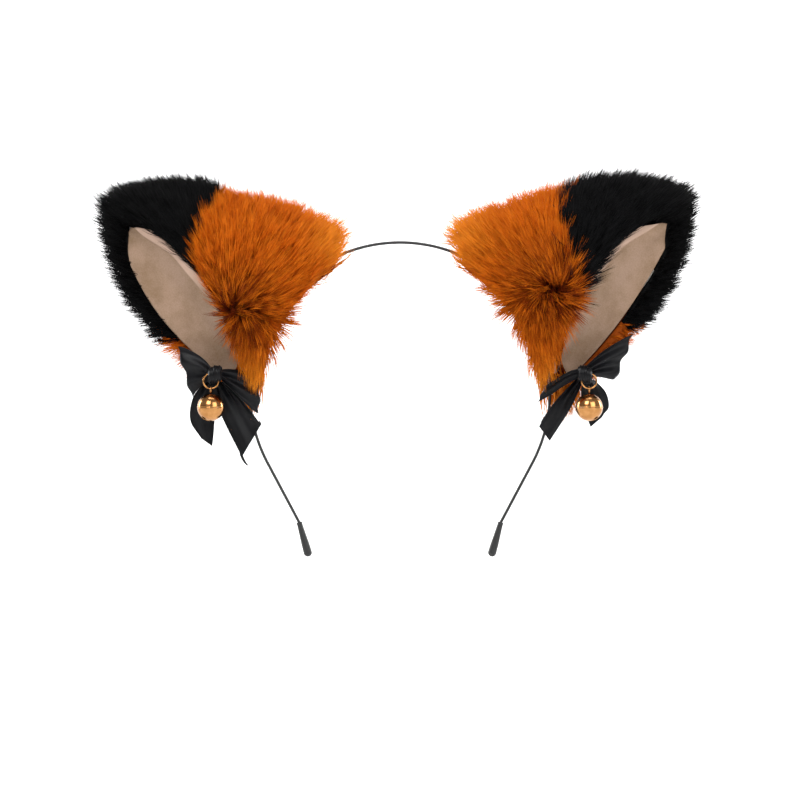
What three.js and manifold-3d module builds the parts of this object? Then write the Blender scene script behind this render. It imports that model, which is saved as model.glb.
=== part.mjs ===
// Animal ears headband: a spring wire hoop with soft tips, two posable fur ears,
// and on each ear a ribbon bow with a small jingle bell.
// Millimetres. +X is the wearer's left as seen from the front, +Z up, the front faces -Y.
// The origin is the underside of the wire at the crown, where it rests on the head.
import * as THREE from 'three';
import { mergeVertices } from 'three/addons/utils/BufferGeometryUtils.js';
import Module from 'manifold-3d';

const wasm = await Module();
wasm.setup();

// ---- driving dimensions -------------------------------------------------------------------
const HOOP_RADIUS = 78; // centreline of the wire
const WIRE_RADIUS = 0.8;
const HOOP_END_DEG = 28; // how far below the hoop's middle each arc runs
const LEG_LENGTH = 35; // straight wire below each arc
const CAP_LENGTH = 18.5;
const CAP_RADIUS = 2.2;
const CAP_MOUTH_RADIUS = 1.4;
const CAP_BEND_DEG = 12; // the tips turn this much more upright than the legs
const GAP = 0.3; // between pieces that touch

const EAR_ANGLE_DEG = 148.5; // where the left ear's middle stands on the hoop
const EAR_LENGTH = 95.5; // skin, base to tip
const EAR_WIDTH = 90; // skin, along the band
const EAR_FRONT_DEPTH = 20;
const EAR_BACK_DEPTH = 17;
const PILE = 11; // fur, from skin to the mean end of the hair
const LINING_CUP = 5.5; // how deep the inner ear is hollowed
const LINING_THICKNESS = 0.8;
const ARMATURE_RADIUS = 0.6;
const SLEEVE_LENGTH = 20;
const SLEEVE_RADIUS = 2.6;
const SLEEVE_CLEARANCE = 0.4;
const FELT_HEIGHT = 5; // underside of the base felt above the band's centreline
const FELT_THICKNESS = 1;

const KNOT = { x: -95, y: -19, z: -68 };
const RIBBON_THICKNESS = 1.6;
const RING_RADIUS = 3.8;
const RING_WIRE = 0.45;
const EYE_RADIUS = 1.6;
const EYE_WIRE = 0.4;
const BELL_RADIUS = 7;
const BELL_WALL = 0.45;
const BELL_SLOT = 1.5;
const PELLET_RADIUS = 2;

// ---- materials ----------------------------------------------------------------------------
const finish = (color, roughness, metalness = 0) =>
  new THREE.MeshStandardMaterial({ color, roughness, metalness });
const blackWire = finish('#161616', 0.45, 0.3);
const softTip = finish('#141414', 0.6);
const orangeFur = finish('#cf6a12', 0.95);
const blackFur = finish('#141416', 0.9);
const suede = finish('#bfa595', 0.95);
const padding = finish('#e8e4dc', 1);
const felt = finish('#1b1b1b', 1);
const satin = finish('#17171a', 0.4);
const goldPlate = finish('#d9a24a', 0.2, 1);
const steel = finish('#9a9a9a', 0.3, 1);

// ---- helpers ------------------------------------------------------------------------------
const headband = new THREE.Group();
const radians = THREE.MathUtils.degToRad;

function addMesh(parent, name, geometry, material) {
  const mesh = new THREE.Mesh(geometry, material);
  mesh.name = name;
  parent.add(mesh);
  return mesh;
}

// Keeps only the shared positions, which is what a solid needs.
function bare(geometry) {
  const plain = geometry.clone();
  for (const name of Object.keys(plain.attributes)) {
    if (name !== 'position') plain.deleteAttribute(name);
  }
  return mergeVertices(plain, 1e-4);
}

function toSolid(geometry) {
  const plain = bare(geometry);
  return new wasm.Manifold(new wasm.Mesh({
    numProp: 3,
    vertProperties: new Float32Array(plain.attributes.position.array),
    triVerts: new Uint32Array(plain.index.array),
  }));
}

function toGeometry(solid) {
  const mesh = solid.getMesh();
  const geometry = new THREE.BufferGeometry();
  geometry.setAttribute('position', new THREE.BufferAttribute(mesh.vertProperties, 3));
  geometry.setIndex(new THREE.BufferAttribute(mesh.triVerts, 1));
  return geometry;
}

function circle(radius, sides) {
  const shape = new THREE.Shape();
  for (let i = 0; i < sides; i++) {
    const turn = (i / sides) * Math.PI * 2;
    if (i === 0) shape.moveTo(radius, 0);
    else shape.lineTo(radius * Math.cos(turn), radius * Math.sin(turn));
  }
  return shape;
}

function tube(curve, radius, sides, steps) {
  return new THREE.ExtrudeGeometry(circle(radius, sides), { extrudePath: curve, steps });
}

// A closed solid between two grids of points that share a layout.
// near(i, j) and far(i, j) give the points, with i in 0..rows and j in 0..columns.
function slab(near, far, rows, columns) {
  const points = [];
  const index = [];
  const at = (layer, i, j) => (layer * (rows + 1) + i) * (columns + 1) + j;
  for (const side of [near, far]) {
    for (let i = 0; i <= rows; i++) {
      for (let j = 0; j <= columns; j++) points.push(...side(i, j).toArray());
    }
  }
  const quad = (a, b, c, d) => index.push(a, b, c, a, c, d);
  for (let i = 0; i < rows; i++) {
    for (let j = 0; j < columns; j++) {
      quad(at(0, i, j), at(0, i, j + 1), at(0, i + 1, j + 1), at(0, i + 1, j));
      quad(at(1, i, j), at(1, i + 1, j), at(1, i + 1, j + 1), at(1, i, j + 1));
    }
  }
  for (let i = 0; i < rows; i++) {
    quad(at(0, i, 0), at(0, i + 1, 0), at(1, i + 1, 0), at(1, i, 0));
    quad(at(0, i, columns), at(1, i, columns), at(1, i + 1, columns), at(0, i + 1, columns));
  }
  for (let j = 0; j < columns; j++) {
    quad(at(0, 0, j), at(1, 0, j), at(1, 0, j + 1), at(0, 0, j + 1));
    quad(at(0, rows, j), at(0, rows, j + 1), at(1, rows, j + 1), at(1, rows, j));
  }
  return facingOut(points, index);
}

// Turns the faces over when the solid came out inside out.
function facingOut(points, index) {
  const corner = (k) => new THREE.Vector3().fromArray(points, index[k] * 3);
  let volume = 0;
  for (let k = 0; k < index.length; k += 3) {
    volume += corner(k).dot(corner(k + 1).cross(corner(k + 2)));
  }
  if (volume < 0) {
    for (let k = 0; k < index.length; k += 3) {
      [index[k + 1], index[k + 2]] = [index[k + 2], index[k + 1]];
    }
  }
  const geometry = new THREE.BufferGeometry();
  geometry.setAttribute('position', new THREE.Float32BufferAttribute(points, 3));
  geometry.setIndex(index);
  return geometry;
}

// ---- the band -----------------------------------------------------------------------------
const HOOP_CENTRE_Z = WIRE_RADIUS - HOOP_RADIUS;

function onHoop(degrees, radius = HOOP_RADIUS) {
  const turn = radians(degrees);
  return new THREE.Vector3(radius * Math.cos(turn), 0, HOOP_CENTRE_Z + radius * Math.sin(turn));
}

// The arc, a straight leg and the slightly more upright stub inside the cap, one side.
class HoopCurve extends THREE.Curve {
  constructor() {
    super();
    this.arc = radians(90 + HOOP_END_DEG) * HOOP_RADIUS;
    this.stub = CAP_LENGTH * 0.6;
    this.half = this.arc + LEG_LENGTH + this.stub;
  }

  getPoint(t, target = new THREE.Vector3()) {
    const along = (t * 2 - 1) * this.half;
    const side = along < 0 ? -1 : 1;
    return target.copy(this.onSide(Math.abs(along))).multiply(new THREE.Vector3(side, 1, 1));
  }

  onSide(distance) {
    const turned = Math.min(distance, this.arc) / HOOP_RADIUS;
    const point = onHoop(90 - THREE.MathUtils.radToDeg(turned));
    const heading = radians(HOOP_END_DEG);
    const leg = THREE.MathUtils.clamp(distance - this.arc, 0, LEG_LENGTH);
    point.add(new THREE.Vector3(-Math.sin(heading), 0, -Math.cos(heading)).multiplyScalar(leg));
    const rest = Math.max(distance - this.arc - LEG_LENGTH, 0);
    return point.add(tipDirection(1).multiplyScalar(rest));
  }
}

function tipDirection(side) {
  const heading = radians(HOOP_END_DEG - CAP_BEND_DEG);
  return new THREE.Vector3(-side * Math.sin(heading), 0, -Math.cos(heading));
}

const hoopCurve = new HoopCurve();
addMesh(headband, 'headband_wire', tube(hoopCurve, WIRE_RADIUS, 8, 90), blackWire);

// A club-shaped soft cap with a blind hole for the wire.
function tipCap() {
  const hole = WIRE_RADIUS + GAP;
  const depth = CAP_LENGTH * 0.6 + 1;
  const nose = CAP_LENGTH - CAP_RADIUS;
  const profile = [
    [0, depth], [hole, depth], [hole, 0], [CAP_MOUTH_RADIUS, 0], [CAP_RADIUS, nose * 0.7],
    [CAP_RADIUS, nose],
  ];
  for (let i = 1; i <= 4; i++) {
    const turn = (i / 4) * (Math.PI / 2);
    profile.push([CAP_RADIUS * Math.cos(turn), nose + CAP_RADIUS * Math.sin(turn)]);
  }
  const points = profile.map(([r, y]) => new THREE.Vector2(Math.max(r, 0), y));
  points[points.length - 1].x = 0;
  return new THREE.LatheGeometry(points, 16);
}

for (const [word, side] of [['left', -1], ['right', 1]]) {
  const cap = addMesh(headband, `tip_cap_${word}`, tipCap(), softTip);
  cap.position.copy(hoopCurve.onSide(hoopCurve.arc + LEG_LENGTH));
  cap.position.x *= side;
  cap.quaternion.setFromUnitVectors(new THREE.Vector3(0, 1, 0), tipDirection(side));
}

// ---- the ear's skin -----------------------------------------------------------------------
// The ear's own frame: u out from the band along the ear, v along the band towards the
// crown, w forwards. The section round the ear runs through eight points, s = 0..8:
// 0 outer rim, 1 inner ear, 2 inner rim, 3 front flank, 4 crown edge, 5 to 7 the back.
const EAR_MIDDLE = onHoop(EAR_ANGLE_DEG);
const EAR_U = EAR_MIDDLE.clone().sub(new THREE.Vector3(0, 0, HOOP_CENTRE_Z)).normalize();
const EAR_V = new THREE.Vector3(EAR_U.z, 0, -EAR_U.x);

function earPoint(u, v, w) {
  return EAR_MIDDLE.clone().addScaledVector(EAR_U, u).addScaledVector(EAR_V, v)
    .add(new THREE.Vector3(0, -w, 0));
}

// How far the band falls away under the ear's base at v.
const bandDrop = (v) => Math.sqrt(HOOP_RADIUS ** 2 - v ** 2) - HOOP_RADIUS;

function sectionPoints(u) {
  const along = Math.max(u, 0) / EAR_LENGTH;
  const half = (EAR_WIDTH / 2) * (1 - along ** 2) ** 0.7;
  const middle = 2 + 4 * along;
  const depth = (1 - along ** 1.5) ** 0.8;
  const front = EAR_FRONT_DEPTH * depth;
  const back = EAR_BACK_DEPTH * depth;
  const rimAt = 2 * (0.5 - 0.35 * (1 - along) ** 2.5) - 1;
  const round = (x) => Math.sqrt(1 - x * x);
  const rim = [rimAt * half, front * round(rimAt)];
  const outer = [-half, -2 * depth];
  const flankAt = (rimAt + 1) / 2;
  const cup = LINING_CUP * (1 - along ** 3);
  return [
    outer,
    [(outer[0] + rim[0]) / 2 + cup * 0.3, (outer[1] + rim[1]) / 2 - cup],
    rim,
    [flankAt * half, front * round(flankAt) * 1.02],
    [half, -depth],
    [0.62 * half, -back * 0.8],
    [0, -back],
    [-0.62 * half, -back * 0.8],
  ].map(([v, w]) => new THREE.Vector3(0, v + middle, w));
}

// A point of the skin, in the ear's frame.
function skin(u, s) {
  const points = sectionPoints(Math.min(u, EAR_LENGTH * 0.9995));
  const curve = new THREE.CatmullRomCurve3(points, true, 'centripetal');
  const point = curve.getPoint((((s / 8) % 1) + 1) % 1);
  point.x = u + bandDrop(point.y) * (1 - Math.max(u, 0) / EAR_LENGTH);
  return point;
}

// The same point moved out along the skin's normal, in the part's frame.
function offSkin(u, s, offset) {
  const step = 0.02;
  const low = Math.min(u, EAR_LENGTH - 1);
  const alongU = skin(low + step, s).sub(skin(low - step, s));
  const alongS = skin(low, s + step).sub(skin(low, s - step));
  const normal = alongU.cross(alongS).normalize();
  const point = skin(u, s).addScaledVector(normal, offset);
  return earPoint(point.x, point.y, point.z);
}

// A panel of the ear: a slab between two offsets from the skin.
// from(s) and to(s) are its lower and upper edges along the ear.
function panel([s0, s1], from, to, inner, outer, rows, columns) {
  const place = (offset) => (i, j) => {
    const s = s0 + ((s1 - s0) * j) / columns;
    const u = from(s) + ((to(s) - from(s)) * i) / rows;
    return offSkin(u, s, offset);
  };
  return slab(place(inner), place(outer), rows, columns);
}

// ---- one ear ------------------------------------------------------------------------------
// Where the orange fur meets the black, along the ear, for a place s round the section.
const SEAM = { rim: 40, crown: 56, outer: 48 };

function seamAt(s) {
  if (s <= 4) return THREE.MathUtils.mapLinear(s, 2, 4, SEAM.rim, SEAM.crown);
  return THREE.MathUtils.mapLinear(s, 4, 8, SEAM.crown, SEAM.outer);
}

// The lower edge of the fur: above the band at the ear's ends, where the band comes out,
// and hanging below it where the skin stands well in front of it or behind it.
function furFoot(s) {
  const clear = THREE.MathUtils.smoothstep(Math.abs(skin(0, s).z), 6, 12);
  return THREE.MathUtils.lerp(7, -8, clear);
}

const FUR_END = EAR_LENGTH - 0.4;
const SEAM_GAP = 0.25;
const FRONT = [2.06, 3.97];
const BACK = [4.03, 7.94];
const tip = () => FUR_END;

function furPanels(ear, word) {
  const belowSeam = (s) => seamAt(s) - SEAM_GAP;
  const aboveSeam = (s) => seamAt(s) + SEAM_GAP;
  const inner = GAP;
  const panels = [
    ['front_base_fur', FRONT, furFoot, belowSeam, orangeFur, 5, 5],
    ['back_base_fur', BACK, furFoot, belowSeam, orangeFur, 5, 12],
    ['front_tip_fur', FRONT, aboveSeam, tip, blackFur, 6, 5],
    ['back_tip_fur', BACK, aboveSeam, tip, blackFur, 6, 12],
  ];
  for (const [name, span, from, to, material, rows, columns] of panels) {
    const geometry = panel(span, from, to, inner, PILE, rows, columns);
    addMesh(ear, `${name}_${word}`, geometry, material);
  }
}

// The suede inner ear, a leaf that starts above the base and ends short of the tip.
function lining(ear, word) {
  const from = (s) => 9 + 5 * (1 - Math.sin((s / 2) * Math.PI));
  const to = (s) => EAR_LENGTH - 12 + 4 * Math.sin((s / 2) * Math.PI);
  const geometry = panel([0.3, 1.84], from, to, -0.1 - LINING_THICKNESS, -0.1, 8, 5);
  addMesh(ear, `inner_lining_${word}`, geometry, suede);
}

// The padding: each section of the skin drawn in towards its middle and a little back,
// which leaves room for the lining and the wire.
const PADDING_WIDTH = 0.76;
const PADDING_DEPTH = 0.7;
const PADDING_BACK = 1;

function paddingPoint(u, s) {
  const point = skin(u, s);
  const middle = 2 + (4 * u) / EAR_LENGTH;
  const v = middle + (point.y - middle) * PADDING_WIDTH;
  return earPoint(point.x, v, point.z * PADDING_DEPTH - PADDING_BACK);
}

function earPadding(ear, word) {
  const stations = [0.18, 0.28, 0.4, 0.52, 0.62, 0.7];
  const around = 20;
  const points = [];
  const index = [];
  const ends = [];
  for (const station of stations) {
    for (let j = 0; j < around; j++) {
      points.push(...paddingPoint(station * EAR_LENGTH, (j / around) * 8).toArray());
    }
  }
  for (const row of [0, stations.length - 1]) {
    const centre = new THREE.Vector3();
    for (let j = 0; j < around; j++) {
      centre.add(new THREE.Vector3().fromArray(points, (row * around + j) * 3));
    }
    ends.push(points.length / 3);
    points.push(...centre.divideScalar(around).toArray());
  }
  const last = (stations.length - 1) * around;
  for (let j = 0; j < around; j++) {
    const next = (j + 1) % around;
    for (let row = 0; row < last; row += around) {
      index.push(row + j, row + next, row + around + next);
      index.push(row + j, row + around + next, row + around + j);
    }
    index.push(ends[0], next, j);
    index.push(ends[1], last + j, last + next);
  }
  addMesh(ear, `ear_padding_${word}`, facingOut(points, index), padding);
}

// The bendable wire: from the sleeve along the base, round the ear's edge and back.
function armature(ear, word) {
  const inset = -1.9;
  const base = 3.9;
  const route = [];
  const overBand = (v) => earPoint(base + bandDrop(v), v, 0);
  for (const v of [-0.6, -10, -20, -30, -34]) route.push(overBand(v));
  for (const u of [14, 28, 42, 56, 70, 82]) route.push(offSkin(u, 7.1, inset));
  route.push(offSkin(EAR_LENGTH - 6, 6, inset));
  for (const u of [82, 70, 56, 42, 28, 14]) route.push(offSkin(u, 4.3, inset));
  for (const v of [37, 32, 22, 11, 0.6]) route.push(overBand(v));
  const curve = new THREE.CatmullRomCurve3(route, false, 'centripetal');
  addMesh(ear, `ear_armature_${word}`, tube(curve, ARMATURE_RADIUS, 6, 60), steel);
}

// The sleeve round the band under the ear's middle.
function bandSleeve(ear, word) {
  const half = SLEEVE_LENGTH / 2;
  const arc = (t) => onHoop(EAR_ANGLE_DEG + THREE.MathUtils.radToDeg((t * half) / HOOP_RADIUS));
  const rings = 6;
  const sides = 12;
  const place = (radius) => (i, j) => {
    const centre = arc((i / rings) * 2 - 1);
    const out = centre.clone().sub(new THREE.Vector3(0, 0, HOOP_CENTRE_Z)).normalize();
    const turn = (j / sides) * Math.PI * 2;
    return centre.addScaledVector(out, radius * Math.cos(turn))
      .add(new THREE.Vector3(0, radius * Math.sin(turn), 0));
  };
  const geometry = sleeveSolid(place(WIRE_RADIUS + SLEEVE_CLEARANCE), place(SLEEVE_RADIUS),
    rings, sides);
  addMesh(ear, `band_sleeve_${word}`, geometry, felt);
}

// A closed sleeve between two rows of rings.
function sleeveSolid(bore, outside, rings, sides) {
  const points = [];
  const index = [];
  const at = (layer, i, j) => (layer * (rings + 1) + i) * sides + (j % sides);
  for (const side of [bore, outside]) {
    for (let i = 0; i <= rings; i++) {
      for (let j = 0; j < sides; j++) points.push(...side(i, j).toArray());
    }
  }
  const quad = (a, b, c, d) => index.push(a, b, c, a, c, d);
  for (let j = 0; j < sides; j++) {
    for (let i = 0; i < rings; i++) {
      quad(at(0, i, j), at(0, i, j + 1), at(0, i + 1, j + 1), at(0, i + 1, j));
      quad(at(1, i, j), at(1, i + 1, j), at(1, i + 1, j + 1), at(1, i, j + 1));
    }
    quad(at(0, 0, j), at(1, 0, j), at(1, 0, j + 1), at(0, 0, j + 1));
    quad(at(0, rings, j), at(0, rings, j + 1), at(1, rings, j + 1), at(1, rings, j));
  }
  return facingOut(points, index);
}

// The felt that closes the base, following the band.
function baseFelt(ear, word) {
  const place = (height) => (i, j) => {
    const v = THREE.MathUtils.lerp(-26, 29, i / 8);
    const half = 10 * Math.sqrt(1 - (v / 46) ** 2);
    return earPoint(height + bandDrop(v), v, THREE.MathUtils.lerp(-half, half, j / 2));
  };
  const geometry = slab(place(FELT_HEIGHT), place(FELT_HEIGHT + FELT_THICKNESS), 8, 2);
  addMesh(ear, `base_felt_${word}`, geometry, felt);
}

// ---- the bow and the bell -----------------------------------------------------------------
// A ribbon piece: a flat strip through the given stations, each with its middle, its
// width and the direction across it in the front plane.
function ribbon(stations, thickness) {
  const place = (offset) => (i, j) => {
    const { x, z, y, width, across } = stations[i];
    const turn = radians(across);
    const reach = (j - 0.5) * width;
    return new THREE.Vector3(x + reach * Math.cos(turn), y + offset, z + reach * Math.sin(turn));
  };
  return slab(place(-thickness / 2), place(thickness / 2), stations.length - 1, 1);
}

function bow(ear, word) {
  const { x, y, z } = KNOT;
  const loopOuter = [
    { x: x - 4.4, z: z + 1.5, y: y + 2.5, width: 6, across: 60 },
    { x: x - 9, z: z + 4, y: y + 4.5, width: 16, across: 64 },
    { x: x - 14.5, z: z + 5.5, y: y + 6.5, width: 23, across: 68 },
    { x: x - 18, z: z + 6.5, y: y + 7.5, width: 21, across: 72 },
  ];
  const loopInner = [
    { x: x + 4.4, z: z + 0.5, y: y + 2.5, width: 6, across: 110 },
    { x: x + 9, z: z - 1, y: y + 4, width: 13, across: 104 },
    { x: x + 15, z: z - 4, y: y + 6, width: 19, across: 96 },
    { x: x + 21, z: z - 6.5, y: y + 7, width: 17, across: 88 },
  ];
  const tailOuter = [
    { x: x - 2.4, z: z - 5, y: y + 7.6, width: 6, across: 0 },
    { x: x - 3.6, z: z - 14, y: y + 10.5, width: 15, across: 4 },
    { x: x - 2.6, z: z - 24, y: y + 11, width: 17, across: 12 },
    { x: x - 0.8, z: z - 33, y: y + 11, width: 5, across: 30 },
  ];
  const tailInner = [
    { x: x + 5, z: z - 5.5, y: y + 6.4, width: 5, across: -20 },
    { x: x + 9, z: z - 15, y: y + 8, width: 13, across: -28 },
    { x: x + 15, z: z - 26, y: y + 8.4, width: 17, across: -30 },
    { x: x + 17, z: z - 37, y: y + 8.4, width: 8, across: -50 },
  ];
  const pieces = [
    ['bow_loop_outer', loopOuter, 4.5], ['bow_loop_inner', loopInner, 4],
    ['bow_tail_outer', tailOuter, RIBBON_THICKNESS],
    ['bow_tail_inner', tailInner, RIBBON_THICKNESS],
  ];
  for (const [name, stations, thickness] of pieces) {
    addMesh(ear, `${name}_${word}`, ribbon(stations, thickness), satin);
  }
  addMesh(ear, `bow_knot_${word}`, knot(), satin);
}

// The ring hangs with its top wire in the knot.
const RING = { x: KNOT.x - 2, y: KNOT.y - 1.5, z: KNOT.z - RING_RADIUS + 0.4 };

function ringGeometry(wire) {
  return new THREE.TorusGeometry(RING_RADIUS, wire, 8, 20).rotateX(Math.PI / 2);
}

// The wrapped knot, cut clear of the ring through its swing.
function knot() {
  const { x, y, z } = KNOT;
  const barrel = new THREE.CapsuleGeometry(3.2, 2.6, 4, 12).scale(1, 1, 1.15).rotateX(Math.PI / 2);
  let solid = toSolid(barrel.translate(x, y, z));
  const top = RING.z + RING_RADIUS;
  for (const swing of [-10, 0, 12, 25]) {
    const cutter = ringGeometry(RING_WIRE + GAP + 0.1).translate(0, 0, -RING_RADIUS)
      .rotateX(radians(-swing)).translate(RING.x, RING.y, top);
    solid = solid.subtract(toSolid(cutter));
  }
  return toGeometry(solid);
}

// A hollow half ball with a rounded rim, open downwards, its crown at +Z.
function bellHalf() {
  const steps = 6;
  const profile = [];
  const rim = 0.15 / BELL_RADIUS;
  for (let i = 0; i <= steps; i++) {
    const turn = rim + (i / steps) * (Math.PI / 2 - rim);
    profile.push(new THREE.Vector2(BELL_RADIUS * Math.cos(turn), BELL_RADIUS * Math.sin(turn)));
  }
  const inside = BELL_RADIUS - BELL_WALL;
  for (let i = steps; i >= 0; i--) {
    const turn = rim + (i / steps) * (Math.PI / 2 - rim);
    profile.push(new THREE.Vector2(inside * Math.cos(turn), inside * Math.sin(turn)));
  }
  profile[steps].x = 0;
  profile[steps + 1].x = 0;
  profile.push(profile[0].clone());
  return new THREE.LatheGeometry(profile, 18).rotateX(Math.PI / 2);
}

// The sound slot across the lower half, with a round hole at each end.
function lowerBell() {
  let solid = toSolid(bellHalf().rotateX(Math.PI));
  const reach = BELL_RADIUS * 0.62;
  const slot = new THREE.BoxGeometry(reach * 2, BELL_SLOT, BELL_RADIUS).translate(0, 0, -BELL_RADIUS);
  solid = solid.subtract(toSolid(slot));
  for (const side of [-1, 1]) {
    const hole = new THREE.CylinderGeometry(BELL_SLOT, BELL_SLOT, BELL_RADIUS, 12)
      .rotateX(Math.PI / 2).translate(side * reach, 0, -BELL_RADIUS * 0.85);
    solid = solid.subtract(toSolid(hole));
  }
  return toGeometry(solid);
}

function bell(ear, word) {
  const eyeZ = RING.z - RING_RADIUS - (EYE_RADIUS - EYE_WIRE - RING_WIRE - 0.1);
  const bellZ = eyeZ - EYE_RADIUS - EYE_WIRE - 0.05 - BELL_RADIUS;
  const ring = addMesh(ear, `jump_ring_${word}`, ringGeometry(RING_WIRE), goldPlate);
  ring.position.set(RING.x, RING.y, RING.z);
  const eye = new THREE.TorusGeometry(EYE_RADIUS, EYE_WIRE, 8, 16).rotateY(Math.PI / 2);
  addMesh(ear, `bell_eye_${word}`, eye, goldPlate).position.set(RING.x, RING.y, eyeZ);
  addMesh(ear, `bell_upper_${word}`, toGeometry(toSolid(bellHalf())), goldPlate)
    .position.set(RING.x, RING.y, bellZ);
  addMesh(ear, `bell_lower_${word}`, lowerBell(), goldPlate)
    .position.set(RING.x, RING.y, bellZ);
  const pellet = new THREE.SphereGeometry(PELLET_RADIUS, 12, 8);
  const floor = BELL_RADIUS - BELL_WALL - PELLET_RADIUS - GAP;
  addMesh(ear, `bell_pellet_${word}`, toGeometry(toSolid(pellet)), steel)
    .position.set(RING.x, RING.y, bellZ - floor);
}

for (const [word, side] of [['left', 1], ['right', -1]]) {
  const ear = new THREE.Group();
  ear.scale.x = side;
  headband.add(ear);
  furPanels(ear, word);
  lining(ear, word);
  earPadding(ear, word);
  armature(ear, word);
  bandSleeve(ear, word);
  baseFelt(ear, word);
  bow(ear, word);
  bell(ear, word);
}

export default headband;
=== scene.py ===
import math

import bpy
import bmesh
import numpy as np
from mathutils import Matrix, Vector


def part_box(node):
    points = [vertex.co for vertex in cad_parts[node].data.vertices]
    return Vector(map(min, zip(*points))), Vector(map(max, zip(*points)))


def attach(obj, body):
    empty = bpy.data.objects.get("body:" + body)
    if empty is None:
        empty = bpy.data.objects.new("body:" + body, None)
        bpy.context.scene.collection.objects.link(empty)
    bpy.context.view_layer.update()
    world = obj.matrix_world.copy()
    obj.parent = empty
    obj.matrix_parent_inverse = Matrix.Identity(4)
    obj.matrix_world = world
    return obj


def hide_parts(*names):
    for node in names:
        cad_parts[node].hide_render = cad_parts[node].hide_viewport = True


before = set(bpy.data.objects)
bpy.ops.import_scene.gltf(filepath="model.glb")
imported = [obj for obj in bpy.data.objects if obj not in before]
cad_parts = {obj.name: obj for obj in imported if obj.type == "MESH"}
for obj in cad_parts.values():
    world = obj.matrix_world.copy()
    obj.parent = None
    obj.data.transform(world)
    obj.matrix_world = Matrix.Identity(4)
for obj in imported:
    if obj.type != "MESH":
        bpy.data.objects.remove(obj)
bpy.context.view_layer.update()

bl_info = {
    "name": "Animal Ears Headband",
    "version": (1, 0, 0),
    "blender": (4, 5, 0),
    "location": "3D View > Sidebar > Headband",
    "description": "Builds the fur ears, ribbon bows, bells and wire band of a costume headband",
    "category": "Object",
}

MM = 0.001
SIDES = {"left": -1, "right": 1}


# ---- places taken from the frame ------------------------------------------------------------
def frame_box(node):
    """A node's box in millimetres."""
    low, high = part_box(node)
    return np.array(low) / MM, np.array(high) / MM


def frame_centre(node):
    low, high = frame_box(node)
    return (low + high) / 2


BAND_LOW, BAND_HIGH = frame_box("headband_wire")
WIRE_RADIUS = (BAND_HIGH[1] - BAND_LOW[1]) / 2
HOOP_RADIUS = BAND_HIGH[0] - WIRE_RADIUS
HOOP_CENTRE_Z = WIRE_RADIUS - HOOP_RADIUS
RING_CENTRE = frame_centre("jump_ring_left")
EYE_CENTRE = frame_centre("bell_eye_left")
KNOT_CENTRE = frame_centre("bow_knot_left")
# The bell's shells meet just above the lower one.
BELL_JOINT_Z = frame_box("bell_lower_left")[1][2] + 0.15
BELL_CENTRE = np.array([RING_CENTRE[0], RING_CENTRE[1], BELL_JOINT_Z])

# ---- the band's sizes, in millimetres -------------------------------------------------------
HOOP_END_DEG = 28
LEG_LENGTH = 35
CAP_LENGTH = 18.5
CAP_RADIUS = 2.2
CAP_BEND_DEG = 12
# How much of each cap's length the wire reaches into.
CAP_GRIP = 0.6

# ---- the ear's sizes, in millimetres --------------------------------------------------------
EAR_ANGLE = math.radians(148.5)
EAR_LENGTH = 95.5
EAR_WIDTH = 90
EAR_FRONT_DEPTH = 20
EAR_BACK_DEPTH = 17
# How far the middle of the inner ear is hollowed.
LINING_CUP = 5.5
# Where the line from rim to rim runs at the band, and how far it drifts by the tip.
EAR_MIDDLE_V = 2
EAR_MIDDLE_DRIFT = 4

# The ear's own frame: u from the band to the tip, v across it, w to the front.
EAR_U = np.array([math.cos(EAR_ANGLE), 0, math.sin(EAR_ANGLE)])
EAR_V = np.array([math.sin(EAR_ANGLE), 0, -math.cos(EAR_ANGLE)])
EAR_W = np.array([0, -1, 0])
EAR_MIDDLE = EAR_U * HOOP_RADIUS + np.array([0, 0, HOOP_CENTRE_Z])


# ---- mesh helpers ---------------------------------------------------------------------------
def link(name, data):
    """Puts a mesh, lamp or camera in the scene."""
    piece = bpy.data.objects.new(name, data)
    bpy.context.collection.objects.link(piece)
    return piece


def mesh_piece(name, points, faces, smooth=True):
    """A mesh object from points in millimetres."""
    mesh = bpy.data.meshes.new(name)
    mesh.from_pydata((np.asarray(points) * MM).tolist(), [], faces)
    mesh.validate()
    if smooth:
        mesh.shade_smooth()
    return link(name, mesh)


def mirrored(points, side):
    """The left side's points, or their mirror image for the right."""
    points = np.array(points, float)
    if side > 0:
        points[..., 0] *= -1
    return points


def fix_normals(piece):
    """Merges doubled points and turns every face outwards."""
    shape = bmesh.new()
    shape.from_mesh(piece.data)
    bmesh.ops.remove_doubles(shape, verts=shape.verts, dist=1e-6)
    bmesh.ops.recalc_face_normals(shape, faces=shape.faces)
    shape.to_mesh(piece.data)
    shape.free()


def apply_modifiers(piece):
    """Replaces the piece's mesh by what its modifiers make of it."""
    graph = bpy.context.evaluated_depsgraph_get()
    mesh = bpy.data.meshes.new_from_object(piece.evaluated_get(graph))
    piece.modifiers.clear()
    old = piece.data
    piece.data = mesh
    bpy.data.meshes.remove(old)
    return piece


def add_float(mesh, name, values):
    """Stores one number for each point."""
    mesh.attributes.new(name, "FLOAT", "POINT").data.foreach_set("value", np.ravel(values))


def add_vector(mesh, name, values):
    """Stores one vector for each point."""
    mesh.attributes.new(name, "FLOAT_VECTOR", "POINT").data.foreach_set("vector", np.ravel(values))


def set_uv(mesh, name, per_vertex):
    """A UV map from one place for each vertex."""
    layer = mesh.uv_layers.new(name=name)
    corners = np.zeros(len(mesh.loops), np.int32)
    mesh.loops.foreach_get("vertex_index", corners)
    layer.uv.foreach_set("vector", np.ravel(np.asarray(per_vertex)[corners]))


def grid_faces(rows, columns, start=0, flip=False):
    """Four-sided faces over a grid of points whose first point is number start."""
    faces = []
    for i in range(rows - 1):
        for j in range(columns - 1):
            a = start + i * columns + j
            face = (a, a + 1, a + columns + 1, a + columns)
            faces.append(face[::-1] if flip else face)
    return faces


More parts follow.
